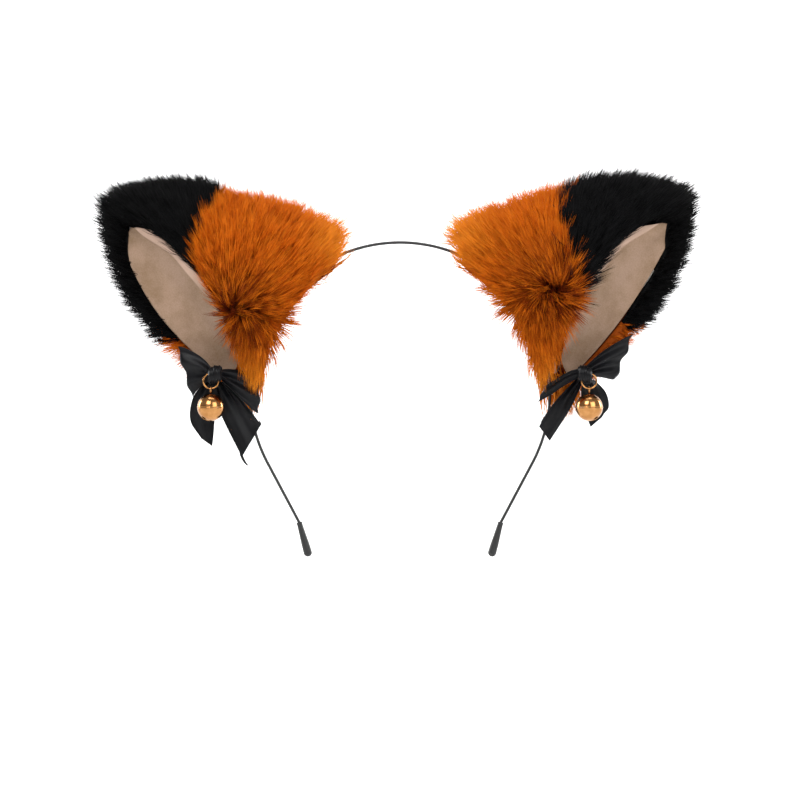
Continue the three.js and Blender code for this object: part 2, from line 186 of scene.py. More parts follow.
def slab_faces(rows, columns):
    """Faces of a closed slab: an outer grid, then an inner grid of the same layout."""
    count = rows * columns
    faces = grid_faces(rows, columns) + grid_faces(rows, columns, count, True)
    rim = list(range(columns))
    rim += [i * columns + columns - 1 for i in range(1, rows)]
    rim += [(rows - 1) * columns + j for j in range(columns - 2, -1, -1)]
    rim += [i * columns for i in range(rows - 2, 0, -1)]
    for here, there in zip(rim, rim[1:] + rim[:1]):
        faces.append((there, here, here + count, there + count))
    return faces


# ---- the ear's skin -------------------------------------------------------------------------
# s runs round the section: 0 outer rim, 1 inner ear, 2 inner rim, 3 front flank, 4 crown
# edge, 5 to 7 the back. u runs along the ear from the band.
SECTION_POINTS = 8


def section_points(u):
    """The eight control points (v, w) of the ear's section at each u."""
    along = np.clip(u, 0, EAR_LENGTH * 0.9995) / EAR_LENGTH
    half = EAR_WIDTH / 2 * (1 - along**2) ** 0.7
    middle = EAR_MIDDLE_V + EAR_MIDDLE_DRIFT * along
    depth = (1 - along**1.5) ** 0.8
    front = EAR_FRONT_DEPTH * depth
    back = EAR_BACK_DEPTH * depth
    rim_at = 2 * (0.5 - 0.35 * (1 - along) ** 2.5) - 1
    flank_at = (rim_at + 1) / 2
    cup = LINING_CUP * (1 - along**3)
    rim = (rim_at * half, front * np.sqrt(1 - rim_at**2))
    outer = (-half, -2 * depth)
    points = [
        outer,
        ((outer[0] + rim[0]) / 2 + cup * 0.3, (outer[1] + rim[1]) / 2 - cup),
        rim,
        (flank_at * half, front * np.sqrt(1 - flank_at**2) * 1.02),
        (half, -depth),
        (0.62 * half, -back * 0.8),
        (0 * half, -back),
        (-0.62 * half, -back * 0.8),
    ]
    return np.array([(v + middle, w) for v, w in points])


def skin(u, s):
    """Points of the skin in the ear's frame (u, v, w), for arrays of u and s."""
    u, s = np.broadcast_arrays(np.asarray(u, float), np.asarray(s, float))
    control = section_points(u)
    s = np.mod(s, SECTION_POINTS)
    first = np.minimum(np.floor(s).astype(int), SECTION_POINTS - 1)
    t = s - first
    picked = []
    for step in (-1, 0, 1, 2):
        which = np.mod(first + step, SECTION_POINTS)
        index = np.broadcast_to(which, (1, 2) + which.shape)
        picked.append(np.take_along_axis(control, index, axis=0)[0])
    # A closed spline through the control points, spaced by the root of their distance.
    p0, p1, p2, p3 = picked
    gap = [np.sqrt(np.hypot(*(b - a))) + 1e-6 for a, b in ((p0, p1), (p1, p2), (p2, p3))]
    out = (p1 - p0) / gap[0] - (p2 - p0) / (gap[0] + gap[1]) + (p2 - p1) / gap[1]
    into = (p2 - p1) / gap[1] - (p3 - p1) / (gap[1] + gap[2]) + (p3 - p2) / gap[2]
    out, into = out * gap[1], into * gap[1]
    place = (
        (2 * t**3 - 3 * t**2 + 1) * p1 + (t**3 - 2 * t**2 + t) * out
        + (3 * t**2 - 2 * t**3) * p2 + (t**3 - t**2) * into
    )
    v, w = place
    # The ear's foot follows the hoop's curve.
    drop = np.sqrt(HOOP_RADIUS**2 - v**2) - HOOP_RADIUS
    along = np.clip(u, 0, EAR_LENGTH) / EAR_LENGTH
    return np.stack([u + drop * (1 - along), v, w], axis=-1)


def to_part(uvw):
    """From the ear's frame to the part's frame, left side."""
    return EAR_MIDDLE + uvw[..., :1] * EAR_U + uvw[..., 1:2] * EAR_V + uvw[..., 2:3] * EAR_W


def smooth_step(x, low, high):
    """0 below low, 1 above high, and a soft rise between."""
    x = np.clip((x - low) / (high - low), 0, 1)
    return x * x * (3 - 2 * x)


def skin_patch(s_span, low, high, rows, columns, close=(0, 0)):
    """A grid of skin points and normals; low(s) and high(s) are its edges along the ear.
    close moves its start and end round the section near the tip."""
    start, end, start_lean, end_lean = s_span
    across = np.linspace(0, 1, columns)[None, :]
    part = np.linspace(0, 1, rows)[:, None]
    s = start * (1 - across) + end * across + 0 * part
    u = low(s) * (1 - part) + high(s) * part
    along = np.clip(u, 0, EAR_LENGTH) / EAR_LENGTH
    s = s + along * (start_lean * (1 - across) + end_lean * across)
    tip = smooth_step(along, 0.81, 0.92)
    s = s + tip * (close[0] * (1 - across) + close[1] * across)
    # The normal is taken a little short of the tip, where the section closes to a point.
    step = 0.05
    clamped = np.minimum(u, EAR_LENGTH - 1.2)
    along = skin(clamped + step, s) - skin(clamped - step, s)
    across = skin(clamped, s + step) - skin(clamped, s - step)
    normal = np.cross(along, across)
    normal /= np.linalg.norm(normal, axis=-1, keepdims=True)
    return u, s, skin(u, s), normal


# ---- materials ------------------------------------------------------------------------------
def linear(code):
    """An sRGB hex colour as linear RGBA; a colour from the settings already is linear."""
    if not isinstance(code, str):
        return list(code)
    parts = [int(code[i:i + 2], 16) / 255 for i in (1, 3, 5)]
    return [x / 12.92 if x <= 0.04045 else ((x + 0.055) / 1.055) ** 2.4 for x in parts] + [1.0]


def add(tree, kind, settings=None, inputs=None):
    """Adds a node; an input is a value or a socket to link from."""
    node = tree.nodes.new(kind)
    for key, value in (settings or {}).items():
        setattr(node, key, value)
    for key, value in (inputs or {}).items():
        if isinstance(value, bpy.types.NodeSocket):
            tree.links.new(value, node.inputs[key])
        else:
            node.inputs[key].default_value = value
    return node


def ramp(tree, factor, stops):
    """A colour ramp; stops are (position, colour)."""
    node = add(tree, "ShaderNodeValToRGB", inputs={"Fac": factor})
    line = node.color_ramp
    while len(line.elements) < len(stops):
        line.elements.new(0.5)
    for element, (position, code) in zip(line.elements, stops):
        element.position = position
        element.color = linear(code)
    return node.outputs["Color"]


def blank_material(name):
    """A material with only its Principled shader and output."""
    material = bpy.data.materials.new(name)
    material.use_nodes = True
    tree = material.node_tree
    tree.nodes.clear()
    shader = add(tree, "ShaderNodeBsdfPrincipled")
    output = add(tree, "ShaderNodeOutputMaterial")
    tree.links.new(shader.outputs["BSDF"], output.inputs["Surface"])
    return material, tree, shader


def set_shader(shader, **values):
    """Sets constant sockets; an underscore stands for a space in a socket's name."""
    for key, value in values.items():
        shader.inputs[key.replace("_", " ")].default_value = value


def mix(tree, factor, a, b):
    """One colour mixed into another."""
    node = add(tree, "ShaderNodeMix", {"data_type": "RGBA"})
    for index, value in ((0, factor), (6, a), (7, b)):
        if isinstance(value, bpy.types.NodeSocket):
            tree.links.new(value, node.inputs[index])
        else:
            node.inputs[index].default_value = value
    return node.outputs[2]


def fur_material(name, stops, dark, pale):
    """Acrylic faux fur: dyed fibre, with painted shade darkening it towards the root and round the
    front's parting, painted light paling it by the band and lower corners, and each lock a little
    different.
    """
    material, tree, shader = blank_material(name)
    along = add(tree, "ShaderNodeUVMap", {"uv_map": "strand"}).outputs["UV"]
    height = add(tree, "ShaderNodeSeparateXYZ", inputs={"Vector": along}).outputs["Y"]
    # Painted shade: the colour darkens from tip to root, where the hairs shade one another; on the
    # black fur the paler tips are a painted highlight.
    base = ramp(tree, height, stops)
    tint = add(tree, "ShaderNodeAttribute", {"attribute_name": "tint"}).outputs["Fac"]
    painted_shade = add(tree, "ShaderNodeAttribute", {"attribute_name": "painted_shade"}).outputs["Fac"]
    # Painted light: the gold value pales the colour by the band and lower corners; tint pales some
    # locks at random.
    gold = add(tree, "ShaderNodeAttribute", {"attribute_name": "gold"}).outputs["Fac"]
    pale_tone_and_painted_light = add(tree, "ShaderNodeMath", {"operation": "MULTIPLY_ADD", "use_clamp": True}, {
        0: tint, 1: 0.4, 2: gold}).outputs[0]
    toned_and_painted_light = mix(tree, pale_tone_and_painted_light, base, linear(pale))
    # Painted shade: the colour is mixed towards the dark colour where the stored shade value is high,
    # more on some locks than on others.
    spread = add(tree, "ShaderNodeMapRange", inputs={
        "Value": tint, "From Min": 0.1, "From Max": 0.9, "To Min": 1.3, "To Max": 0.1})
    painted_shade_share = add(tree, "ShaderNodeMath", {"operation": "MULTIPLY", "use_clamp": True}, {
        0: painted_shade, 1: spread.outputs["Result"]}).outputs[0]
    deep = mix(tree, painted_shade_share, toned_and_painted_light, linear(dark))
    tree.links.new(deep, shader.inputs["Base Color"])
    set_shader(shader, Roughness=0.66, Specular_IOR_Level=0.07)
    return material


def cloth_material(name, code, second, spacing, depth, roughness, sheen):
    """Woven or napped cloth: dull, with painted shade in soft random patches of its darker second
    colour, and a painted highlight on a hem.
    spacing and depth are its threads' or nap's, in metres."""
    material, tree, shader = blank_material(name)
    place = add(tree, "ShaderNodeUVMap", {"uv_map": "cloth"}).outputs["UV"]
    # Painted shade: large soft patches of the darker second colour, laid at random.
    painted_shade_cloud = add(tree, "ShaderNodeTexNoise", inputs={
        "Vector": place, "Scale": 55.0, "Detail": 5.0, "Roughness": 0.6}).outputs["Fac"]
    grain = add(tree, "ShaderNodeTexNoise", inputs={
        "Vector": place, "Scale": 1 / spacing, "Detail": 2.0}).outputs["Fac"]
    colour = ramp(tree, painted_shade_cloud, [(0.3, second), (0.62, code)])
    fine = mix(tree, 0.25, colour, ramp(tree, grain, [(0.35, second), (0.65, code)]))
    # Painted highlight: the hem's turned-in edge is mixed towards a pale pink beige.
    hem = add(tree, "ShaderNodeAttribute", {"attribute_name": "hem"}).outputs["Fac"]
    tree.links.new(mix(tree, hem, fine, linear("#c9ab9a")), shader.inputs["Base Color"])
    bump = add(tree, "ShaderNodeBump", inputs={"Height": grain, "Distance": depth, "Strength": 0.6})
    tree.links.new(bump.outputs["Normal"], shader.inputs["Normal"])
    set_shader(shader, Roughness=roughness, Sheen_Weight=sheen, Sheen_Roughness=0.35)
    return material


def satin_material():
    """Polyester satin ribbon: fine warp floats, dark and smooth with a soft broad shine."""
    material, tree, shader = blank_material("black_satin")
    place = add(tree, "ShaderNodeUVMap", {"uv_map": "cloth"}).outputs["UV"]
    # The real warp is 0.1 mm; drawn at 0.35 mm so that it shows.
    wave = add(tree, "ShaderNodeTexWave", {"bands_direction": "Y"}, {
        "Vector": place, "Scale": 0.31 / 0.00035, "Distortion": 1.5, "Detail": 2.0}).outputs["Fac"]
    patch = add(tree, "ShaderNodeTexNoise", inputs={
        "Vector": place, "Scale": 120.0, "Detail": 3.0}).outputs["Fac"]
    colour = mix(tree, 0.4, ramp(tree, wave, [(0.2, "#070708"), (0.8, "#101012")]),
                 ramp(tree, patch, [(0.3, "#08080a"), (0.7, "#141518")]))
    tree.links.new(colour, shader.inputs["Base Color"])
    bump = add(tree, "ShaderNodeBump", inputs={"Height": wave, "Distance": 0.00004, "Strength": 0.5})
    tree.links.new(bump.outputs["Normal"], shader.inputs["Normal"])
    set_shader(shader, Roughness=0.31, Specular_IOR_Level=0.12, Anisotropic=0.5)
    return material


def plain_material(name, code, second, roughness, metallic=0.0, scale=900.0, bump_mm=0.02, coat=0.0):
    """A moulded, drawn or plated surface with faint mottling and handling marks."""
    material, tree, shader = blank_material(name)
    place = add(tree, "ShaderNodeTexCoord").outputs["Object"]
    grain = add(tree, "ShaderNodeTexNoise", inputs={
        "Vector": place, "Scale": scale, "Detail": 3.0}).outputs["Fac"]
    tree.links.new(ramp(tree, grain, [(0.35, second), (0.65, code)]), shader.inputs["Base Color"])
    rough = add(tree, "ShaderNodeMapRange", inputs={
        "Value": grain, "To Min": roughness * 0.8, "To Max": roughness * 1.2}).outputs["Result"]
    tree.links.new(rough, shader.inputs["Roughness"])
    bump = add(tree, "ShaderNodeBump", inputs={
        "Height": grain, "Distance": bump_mm * MM, "Strength": 0.4})
    tree.links.new(bump.outputs["Normal"], shader.inputs["Normal"])
    set_shader(shader, Metallic=metallic, Coat_Weight=coat)
    return material


MATERIALS = {}


def make_materials(colours):
    MATERIALS.update(
        # Dyed acrylic pile: orange at the tip; near brown at the root and round the parting is painted
        # shade, and gold by the band and lower corners is painted light.
        orange_fur=fur_material("orange_faux_fur", [
            (0.0, "#6a2200"), (0.3, "#a63f00"), (1.0, colours.orange_fur)], "#5a1a00", "#da801c"),
        # The same pile dyed black, with only a faint light on the tips.
        black_fur=fur_material("black_faux_fur", [
            (0.0, "#010101"), (0.5, "#040404"), (1.0, colours.black_fur)], "#010101", "#101012"),
        # Microfibre suede: a dull nap, slightly clouded by painted shade in the darker second colour.
        suede=cloth_material("beige_suede", colours.suede, "#70583f", 0.0007, 0.00008, 0.92, 0.05),
        satin=satin_material(),
        # Polyester wadding: white, loose and fully rough.
        wadding=cloth_material("white_wadding", "#e6e1d8", "#cfc9be", 0.002, 0.0004, 1.0, 0.3),
        # Spring steel under black lacquer: dark, with a soft thin highlight.
        wire=plain_material("black_lacquered_wire", "#080808", "#040404", 0.42),
        # Dipped soft rubber: matt black.
        soft_tip=plain_material("matt_soft_rubber", "#0a0a0a", "#060606", 0.5, scale=1500.0),
        # Pressed brass, plated: a bright warm mirror with faint handling marks.
        gold=plain_material("gold_plated_brass", colours.bells, "#9c6d40", 0.18, 1.0, 300.0, 0.01),
        # Pressed felt: black and fully rough.
        felt=plain_material("pressed_felt", "#1c1c1c", "#0f0f0f", 1.0, scale=1600.0, bump_mm=0.2),
        # Bare drawn steel: grey, half dull.
        steel=plain_material("drawn_steel_wire", "#8d8d8d", "#7a7a7a", 0.35, 1.0),
    )


def finish_piece(piece, material, body, slot, *nodes):
    """Gives a finished piece its material and body, and hides the nodes it stands for; slot is not
    used.
    """
    piece.data.materials.clear()
    piece.data.materials.append(MATERIALS[material])
    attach(piece, body)
    if nodes:
        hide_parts(*nodes)
    return piece


# ---- the band -------------------------------------------------------------------------------
def hoop_point(distance):
    """A point of the wire's centreline, right side, by its distance from the crown."""
    arc = math.radians(90 + HOOP_END_DEG) * HOOP_RADIUS
    turn = math.pi / 2 - min(distance, arc) / HOOP_RADIUS
    point = np.array([math.cos(turn), 0, math.sin(turn)]) * HOOP_RADIUS
    point[2] += HOOP_CENTRE_Z
    heading = math.radians(HOOP_END_DEG)
    leg = min(max(distance - arc, 0), LEG_LENGTH)
    point += np.array([-math.sin(heading), 0, -math.cos(heading)]) * leg
    rest = max(distance - arc - LEG_LENGTH, 0)
    return point + cap_direction() * rest


def cap_direction():
    """The way the right cap points, bent inwards from its leg."""
    heading = math.radians(HOOP_END_DEG - CAP_BEND_DEG)
    return np.array([-math.sin(heading), 0, -math.cos(heading)])


def sweep(path, radii, sides, closed=False):
    """Points and faces of a tube along a path."""
    path = np.asarray(path, float)
    count = len(path)
    if closed:
        tangent = np.roll(path, -1, 0) - np.roll(path, 1, 0)
    else:
        tangent = np.gradient(path, axis=0)
    tangent /= np.linalg.norm(tangent, axis=1, keepdims=True)
    across = np.cross(tangent, [0, 1, 0])
    small = np.linalg.norm(across, axis=1) < 0.2
    across[small] = np.cross(tangent[small], [1, 0, 0])
    across /= np.linalg.norm(across, axis=1, keepdims=True)
    other = np.cross(tangent, across)
    turn = np.arange(sides) / sides * 2 * math.pi
    ring = np.cos(turn)[None, :, None] * across[:, None] + np.sin(turn)[None, :, None] * other[:, None]
    radii = np.broadcast_to(radii, count)
    points = (path[:, None] + ring * radii[:, None, None]).reshape(-1, 3)
    faces = []
    for i in range(count if closed else count - 1):
        for j in range(sides):
            after = (i + 1) % count
            a, b = i * sides + j, i * sides + (j + 1) % sides
            faces.append((a, b, after * sides + (j + 1) % sides, after * sides + j))
    if not closed:
        faces.append(tuple(range(sides - 1, -1, -1)))
        faces.append(tuple((count - 1) * sides + j for j in range(sides)))
    return points, faces


def lathe(profile, segments):
    """A closed profile of (radius, height) turned about the Z axis."""
    profile = np.asarray(profile, float)
    turn = np.arange(segments) / segments * 2 * math.pi
    ring = np.stack([np.cos(turn), np.sin(turn)], 1)
    points = []
    for radius, height in profile:
        points += [(radius * x, radius * y, height) for x, y in ring]
    count = len(profile)
    faces = []
    for i in range(count):
        for j in range(segments):
            a, b = i * segments, ((i + 1) % count) * segments
            k = (j + 1) % segments
            faces.append((a + j, a + k, b + k, b + j))
    return np.array(points), faces


def turned(points, direction):
    """Points with their Z axis laid along a direction."""
    matrix = np.array(Vector((0, 0, 1)).rotation_difference(Vector(direction)).to_matrix())
    return points @ matrix.T


def build_band():
    """The wire from inside one cap, over the hoop, to inside the other."""
    stub = CAP_LENGTH * CAP_GRIP
    half = math.radians(90 + HOOP_END_DEG) * HOOP_RADIUS + LEG_LENGTH + stub
    path = []
    for distance in np.linspace(-half, half, 321):
        point = hoop_point(abs(distance))
        path.append(point * np.array([math.copysign(1, distance), 1, 1]))
    points, faces = sweep(path, WIRE_RADIUS, 16)
    wire = mesh_piece("band_wire", points, faces)
    fix_normals(wire)
    finish_piece(wire, "wire", "band", "black_wire", "headband_wire")
    build_caps(half - stub)


def build_caps(start):
    """Club-shaped soft caps with a rolled mouth and a faint moulding ring."""
    bore, bore_depth = WIRE_RADIUS + 0.08, 9.5
    outline = [(bore, bore_depth), (bore, 0.1), (1.25, -0.12), (1.5, 0.15),
               (1.52, 0.7), (1.42, 1.1), (1.55, 3.5), (1.82, 8.0), (2.08, 12.0)]
    nose = CAP_LENGTH - CAP_RADIUS
    nose_steps = 9
    for i in range(nose_steps + 1):
        turn = i / nose_steps * math.pi / 2
        outline.append((max(CAP_RADIUS * math.cos(turn), 0.0), nose + CAP_RADIUS * math.sin(turn)))
    outline.append((0.0, bore_depth))
    points, faces = lathe(outline, 40)
    for word, side in SIDES.items():
        placed = turned(points, cap_direction()) + hoop_point(start)
        cap = mesh_piece(f"soft_cap_{word}", mirrored(placed, -side), faces)
        fix_normals(cap)
        finish_piece(cap, "soft_tip", "band", "soft_tip", f"tip_cap_{word}")


# ---- fur ------------------------------------------------------------------------------------
# The seam between the orange and black fur: places (s, u) round each ear.
SEAMS = {
    "left": [(2, 40), (2.35, 49), (3, 55), (4, 58), (6, 50), (8, 38)],
    "right": [(2, 18), (2.25, 24), (2.7, 32), (3.3, 41), (4, 54), (6, 52), (8, 44), (8.3, 42)],
}
# Where the front fur parts, as (u, v): the hair lies away from it on every side.
SWIRLS = {"left": (16, -9), "right": (17, 3)}
BACK_PARTING = (-30, 6)
# Where the front fur, back fur and lining run round each ear.
# Each is its start and end at the band, and how far each moves by the ear's tip.
FRONT = {"left": (2.03, 4.0, 0, 0), "right": (2.2, 4.0, 0.25, 0)}
BACK = {"left": (4.0, 7.98, 0, 0), "right": (4.0, 8.24, 0, 0.5)}
LINING = {"left": (0.03, 1.99, 0, 0), "right": (0.28, 2.16, 0.5, 0.25)}
# How much shorter than usual the hair is along each ear's crown edge and outer rim, in mm.
CROWN_TRIM = {"left": 4.5, "right": 0.5}
RIM_TRIM = {"left": 0, "right": 4.5}
# How much longer it is at the upper end by the band.
CORNER_GROWTH = {"left": 1.0, "right": 4.0}
# How much longer it hangs behind each bow.
DROOP = {"left": 9.0, "right": 6.0}
# Straight down, in the ear's frame.
DOWN = np.array([-EAR_U[2], -EAR_V[2]])
FUR_END = EAR_LENGTH - 0.3
# The fur's lower edge by the ear's ends, and how far it hangs below that in the middle.
FOOT_HEIGHT = 5
FOOT_DROP = 11
BACKING_THICKNESS = 0.7
# How far the backing stands off the ear's skin.
BACKING_LIFT = 0.5
# The share of one side of the backing that carries hair, without its cut edges.
HAIRY_SHARE = 0.92


def seam_at(word, s):
    """How far along the ear the two colours meet, at s."""
    places, heights = zip(*SEAMS[word])
    return np.interp(s, places, heights)


def fur_foot(s):
    """The fur's lower edge: above the band at the ear's ends, hanging below it between."""
    depth = np.abs(skin(np.zeros_like(s), s)[..., 2])
    return FOOT_HEIGHT - FOOT_DROP * smooth_step(depth, 5, 11)


def lock_mesh(name, seed, strands=6, steps=2):
    """A lock of tapered three-sided hairs of unit length that curve the same way and close up
    at the tip."""
    root_radius, rise = 0.0125, 0.88
    chance = np.random.default_rng(seed)
    points, faces, heights = [], [], []
    for k in range(strands):
        base = chance.normal(0, 0.045, 2)
        reach = 1.0 if k == 0 else chance.uniform(0.7, 0.98)
        end = base * 0.6 + chance.normal(0, 0.055, 2)
        bend = chance.uniform(0.22, 0.42)
        spin = chance.uniform(0, 2 * math.pi)
        first = len(points)
        for i in range(steps):
            h = i / steps
            width = root_radius * (1 - h) ** 0.5
            middle = base * (1 - h) + end * h
            for corner in range(3):
                turn = spin + corner * 2 * math.pi / 3
                points.append((middle[0] + bend * h * h + width * math.cos(turn),
                               middle[1] + width * math.sin(turn),
                               reach * (h - (1 - rise) * h * h)))
                heights.append(h)
        points.append((end[0] + bend, end[1], reach * rise))
        heights.append(1.0)
        for i in range(steps - 1):
            for corner in range(3):
                a = first + i * 3 + corner
                b = first + i * 3 + (corner + 1) % 3
                faces.append((a, b, b + 3, a + 3))
        top = first + (steps - 1) * 3
        for corner in range(3):
            faces.append((top + corner, top + (corner + 1) % 3, first + steps * 3))
        faces.append((first + 2, first + 1, first))
    mesh = bpy.data.meshes.new(name)
    mesh.from_pydata(points, [], faces)
    mesh.shade_smooth()
    set_uv(mesh, "strand", [(0.5, h) for h in heights])
    return link(name, mesh)


def fur_tree():
    """Plants locks over the backing: they stand on it, lie along comb and vary at random."""
    tree = bpy.data.node_groups.new("plant_fur", "GeometryNodeTree")
    face = tree.interface
    sockets = [("Geometry", "NodeSocketGeometry"), ("Locks", "NodeSocketFloat"),
               ("Stand", "NodeSocketFloat"), ("Lean", "NodeSocketFloat"),
               ("Scatter", "NodeSocketFloat"), ("Seed", "NodeSocketInt"),
               ("Lock A", "NodeSocketObject"), ("Lock B", "NodeSocketObject"),
               ("Lock C", "NodeSocketObject"), ("Material", "NodeSocketMaterial")]
    for name, kind in sockets:
        face.new_socket(name=name, in_out="INPUT", socket_type=kind)
    face.new_socket(name="Geometry", in_out="OUTPUT", socket_type="NodeSocketGeometry")
    given = add(tree, "NodeGroupInput").outputs

    def stored(name, kind="FLOAT"):
        node = add(tree, "GeometryNodeInputNamedAttribute", {"data_type": kind}, {"Name": name})
        return node.outputs[0]

    def vector(operation, a, b):
        node = add(tree, "ShaderNodeVectorMath", {"operation": operation}, {0: a})
        tree.links.new(b, node.inputs["Scale" if operation == "SCALE" else 1])
        return node.outputs[0]

    def product(a, b):
        return add(tree, "ShaderNodeMath", {"operation": "MULTIPLY"}, {0: a, 1: b}).outputs[0]

    planted = add(tree, "GeometryNodeDistributePointsOnFaces", {"distribute_method": "RANDOM"}, {
        "Mesh": given["Geometry"], "Density": product(stored("hair"), given["Locks"]),
        "Seed": given["Seed"]}).outputs
    comb = stored("comb", "FLOAT_VECTOR")
    stray = add(tree, "FunctionNodeRandomValue", {"data_type": "FLOAT_VECTOR"}, {
        0: (-1, -1, -1), 1: (1, 1, 1), "Seed": given["Seed"]}).outputs[0]
    heading = vector("ADD", vector("SCALE", planted["Normal"], given["Stand"]),
                     vector("SCALE", comb, given["Lean"]))
    heading = vector("ADD", heading, vector("SCALE", stray, given["Scatter"]))
    upright = add(tree, "FunctionNodeAlignRotationToVector", {"axis": "Z"}, {"Vector": heading})
    facing = add(tree, "FunctionNodeAlignRotationToVector", {"axis": "X", "pivot_axis": "Z"}, {
        "Rotation": upright.outputs[0], "Vector": comb})
    vary = add(tree, "FunctionNodeRandomValue", {"data_type": "FLOAT"}, {
        2: 0.62, 3: 1.2, "Seed": given["Seed"]}).outputs[1]
    locks = add(tree, "GeometryNodeJoinGeometry")
    for letter in "CBA":
        lock = add(tree, "GeometryNodeObjectInfo", inputs={
            "Object": given[f"Lock {letter}"], "As Instance": True})
        tree.links.new(lock.outputs["Geometry"], locks.inputs["Geometry"])
    choice = add(tree, "FunctionNodeRandomValue", {"data_type": "INT"}, {
        4: 0, 5: 2, "Seed": given["Seed"]}).outputs[2]
    fur = add(tree, "GeometryNodeInstanceOnPoints", inputs={
        "Points": planted["Points"], "Instance": locks.outputs[0], "Pick Instance": True,
        "Instance Index": choice, "Rotation": facing.outputs[0],
        "Scale": product(stored("pile"), vary)})
    tint = add(tree, "FunctionNodeRandomValue", {"data_type": "FLOAT"}, {"Seed": 7}).outputs[1]
    tinted = add(tree, "GeometryNodeStoreNamedAttribute", {
        "data_type": "FLOAT", "domain": "INSTANCE"}, {
        "Geometry": fur.outputs[0], "Name": "tint", "Value": tint})
    whole = add(tree, "GeometryNodeJoinGeometry")
    tree.links.new(tinted.outputs[0], whole.inputs[0])
    tree.links.new(given["Geometry"], whole.inputs[0])
    real = add(tree, "GeometryNodeRealizeInstances", inputs={"Geometry": whole.outputs[0]})
    worn = add(tree, "GeometryNodeSetMaterial", inputs={
        "Geometry": real.outputs[0], "Material": given["Material"]})
    add(tree, "NodeGroupOutput", inputs={0: worn.outputs[0]})
    return tree


def comb_field(word, uvw, front):
    """The way the hair lies, in the ear's frame, pointing away from where the fur parts."""
    place = uvw[..., :2]
    out = place - np.array(SWIRLS[word] if front else BACK_PARTING)
    lie = out.copy()
    if front:
        # It turns round the parting, over about 14 mm.
        near = np.exp(-np.linalg.norm(out, axis=-1, keepdims=True) / 14)
        lie += np.stack([-out[..., 1], out[..., 0]], -1) * near * 0.9
    else:
        # It is brushed out to both edges.
        lie[..., 1] *= 1.8
    # Towards the band it lies less, and low down it hangs.
    lie[..., 0] = np.where(lie[..., 0] < 0, lie[..., 0] * 0.45, lie[..., 0])
    size = np.linalg.norm(lie, axis=-1, keepdims=True)
    below = smooth_step(out @ DOWN, 0, 22)[..., None] * (0.55 if front else 0.7)
    below = below * (1 - smooth_step(place[..., :1], 18, 40))
    lie = lie * (1 - below) + DOWN * size * below
    lie = lie / (size + 7.0) * (1 + 0.7 * below)
    return np.concatenate([lie, np.zeros_like(size)], axis=-1)


def pile_map(word, s, u, front, usual):
    """Hair length in millimetres: short by the lining, long at the lower corners."""
    length = np.full_like(u, usual)
    crown = smooth_step(s, 2.6, 3.4) * (1 - smooth_step(s, 4.8, 5.6)) * smooth_step(u, 25, 50)
    length -= CROWN_TRIM[word] * crown
    corner = smooth_step(s, 3.2, 3.8) * (1 - smooth_step(s, 4.4, 5.2)) * (1 - smooth_step(u, 8, 32))
    length += CORNER_GROWTH[word] * corner
    if front:
        # Clipped beside the lining, and longer at the foot.
        length -= 5.0 * (1 - smooth_step(s, 2.0, 2.5))
        length += 3.0 * (1 - smooth_step(u, 0, 14)) * (1 - smooth_step(s, 2.2, 3.0))
    else:
        # Long behind the bow, a little longer along the outer rim, clipped beside the lining.
        length += DROOP[word] * (1 - smooth_step(u, 3, 17)) * smooth_step(s, 6.85, 7.45)
        length += 1.0 * smooth_step(s, 7.0, 7.6) * smooth_step(u, 15, 40)
        length -= RIM_TRIM[word] * smooth_step(s, 6.6, 7.4) * smooth_step(u, 10, 25)
        length -= 6.0 * smooth_step(s, 7.75, 8.0) * smooth_step(u, 8, 20)
    return length


def painted_shade_map(word, uvw, front, black):
    """Painted shade: a little over all the fur, and more within about 17 mm of the parting on the
    front.
    """
    painted_shade = np.full(uvw.shape[:-1], 0.06)
    if front and not black:
        distance = np.linalg.norm(uvw[..., :2] - np.array(SWIRLS[word]), axis=-1)
        painted_shade += 0.85 * np.exp(-((distance / 17) ** 2))
    return painted_shade


def painted_light_map(uvw, black):
    """Painted light: where the orange is paled towards gold, by the band and at the lower corner."""
    if black:
        return np.zeros(uvw.shape[:-1])
    low = 1 - smooth_step(uvw[..., 0], -8, 16)
    return 0.75 * low * smooth_step(np.abs(uvw[..., 1] - 6), 14, 34)


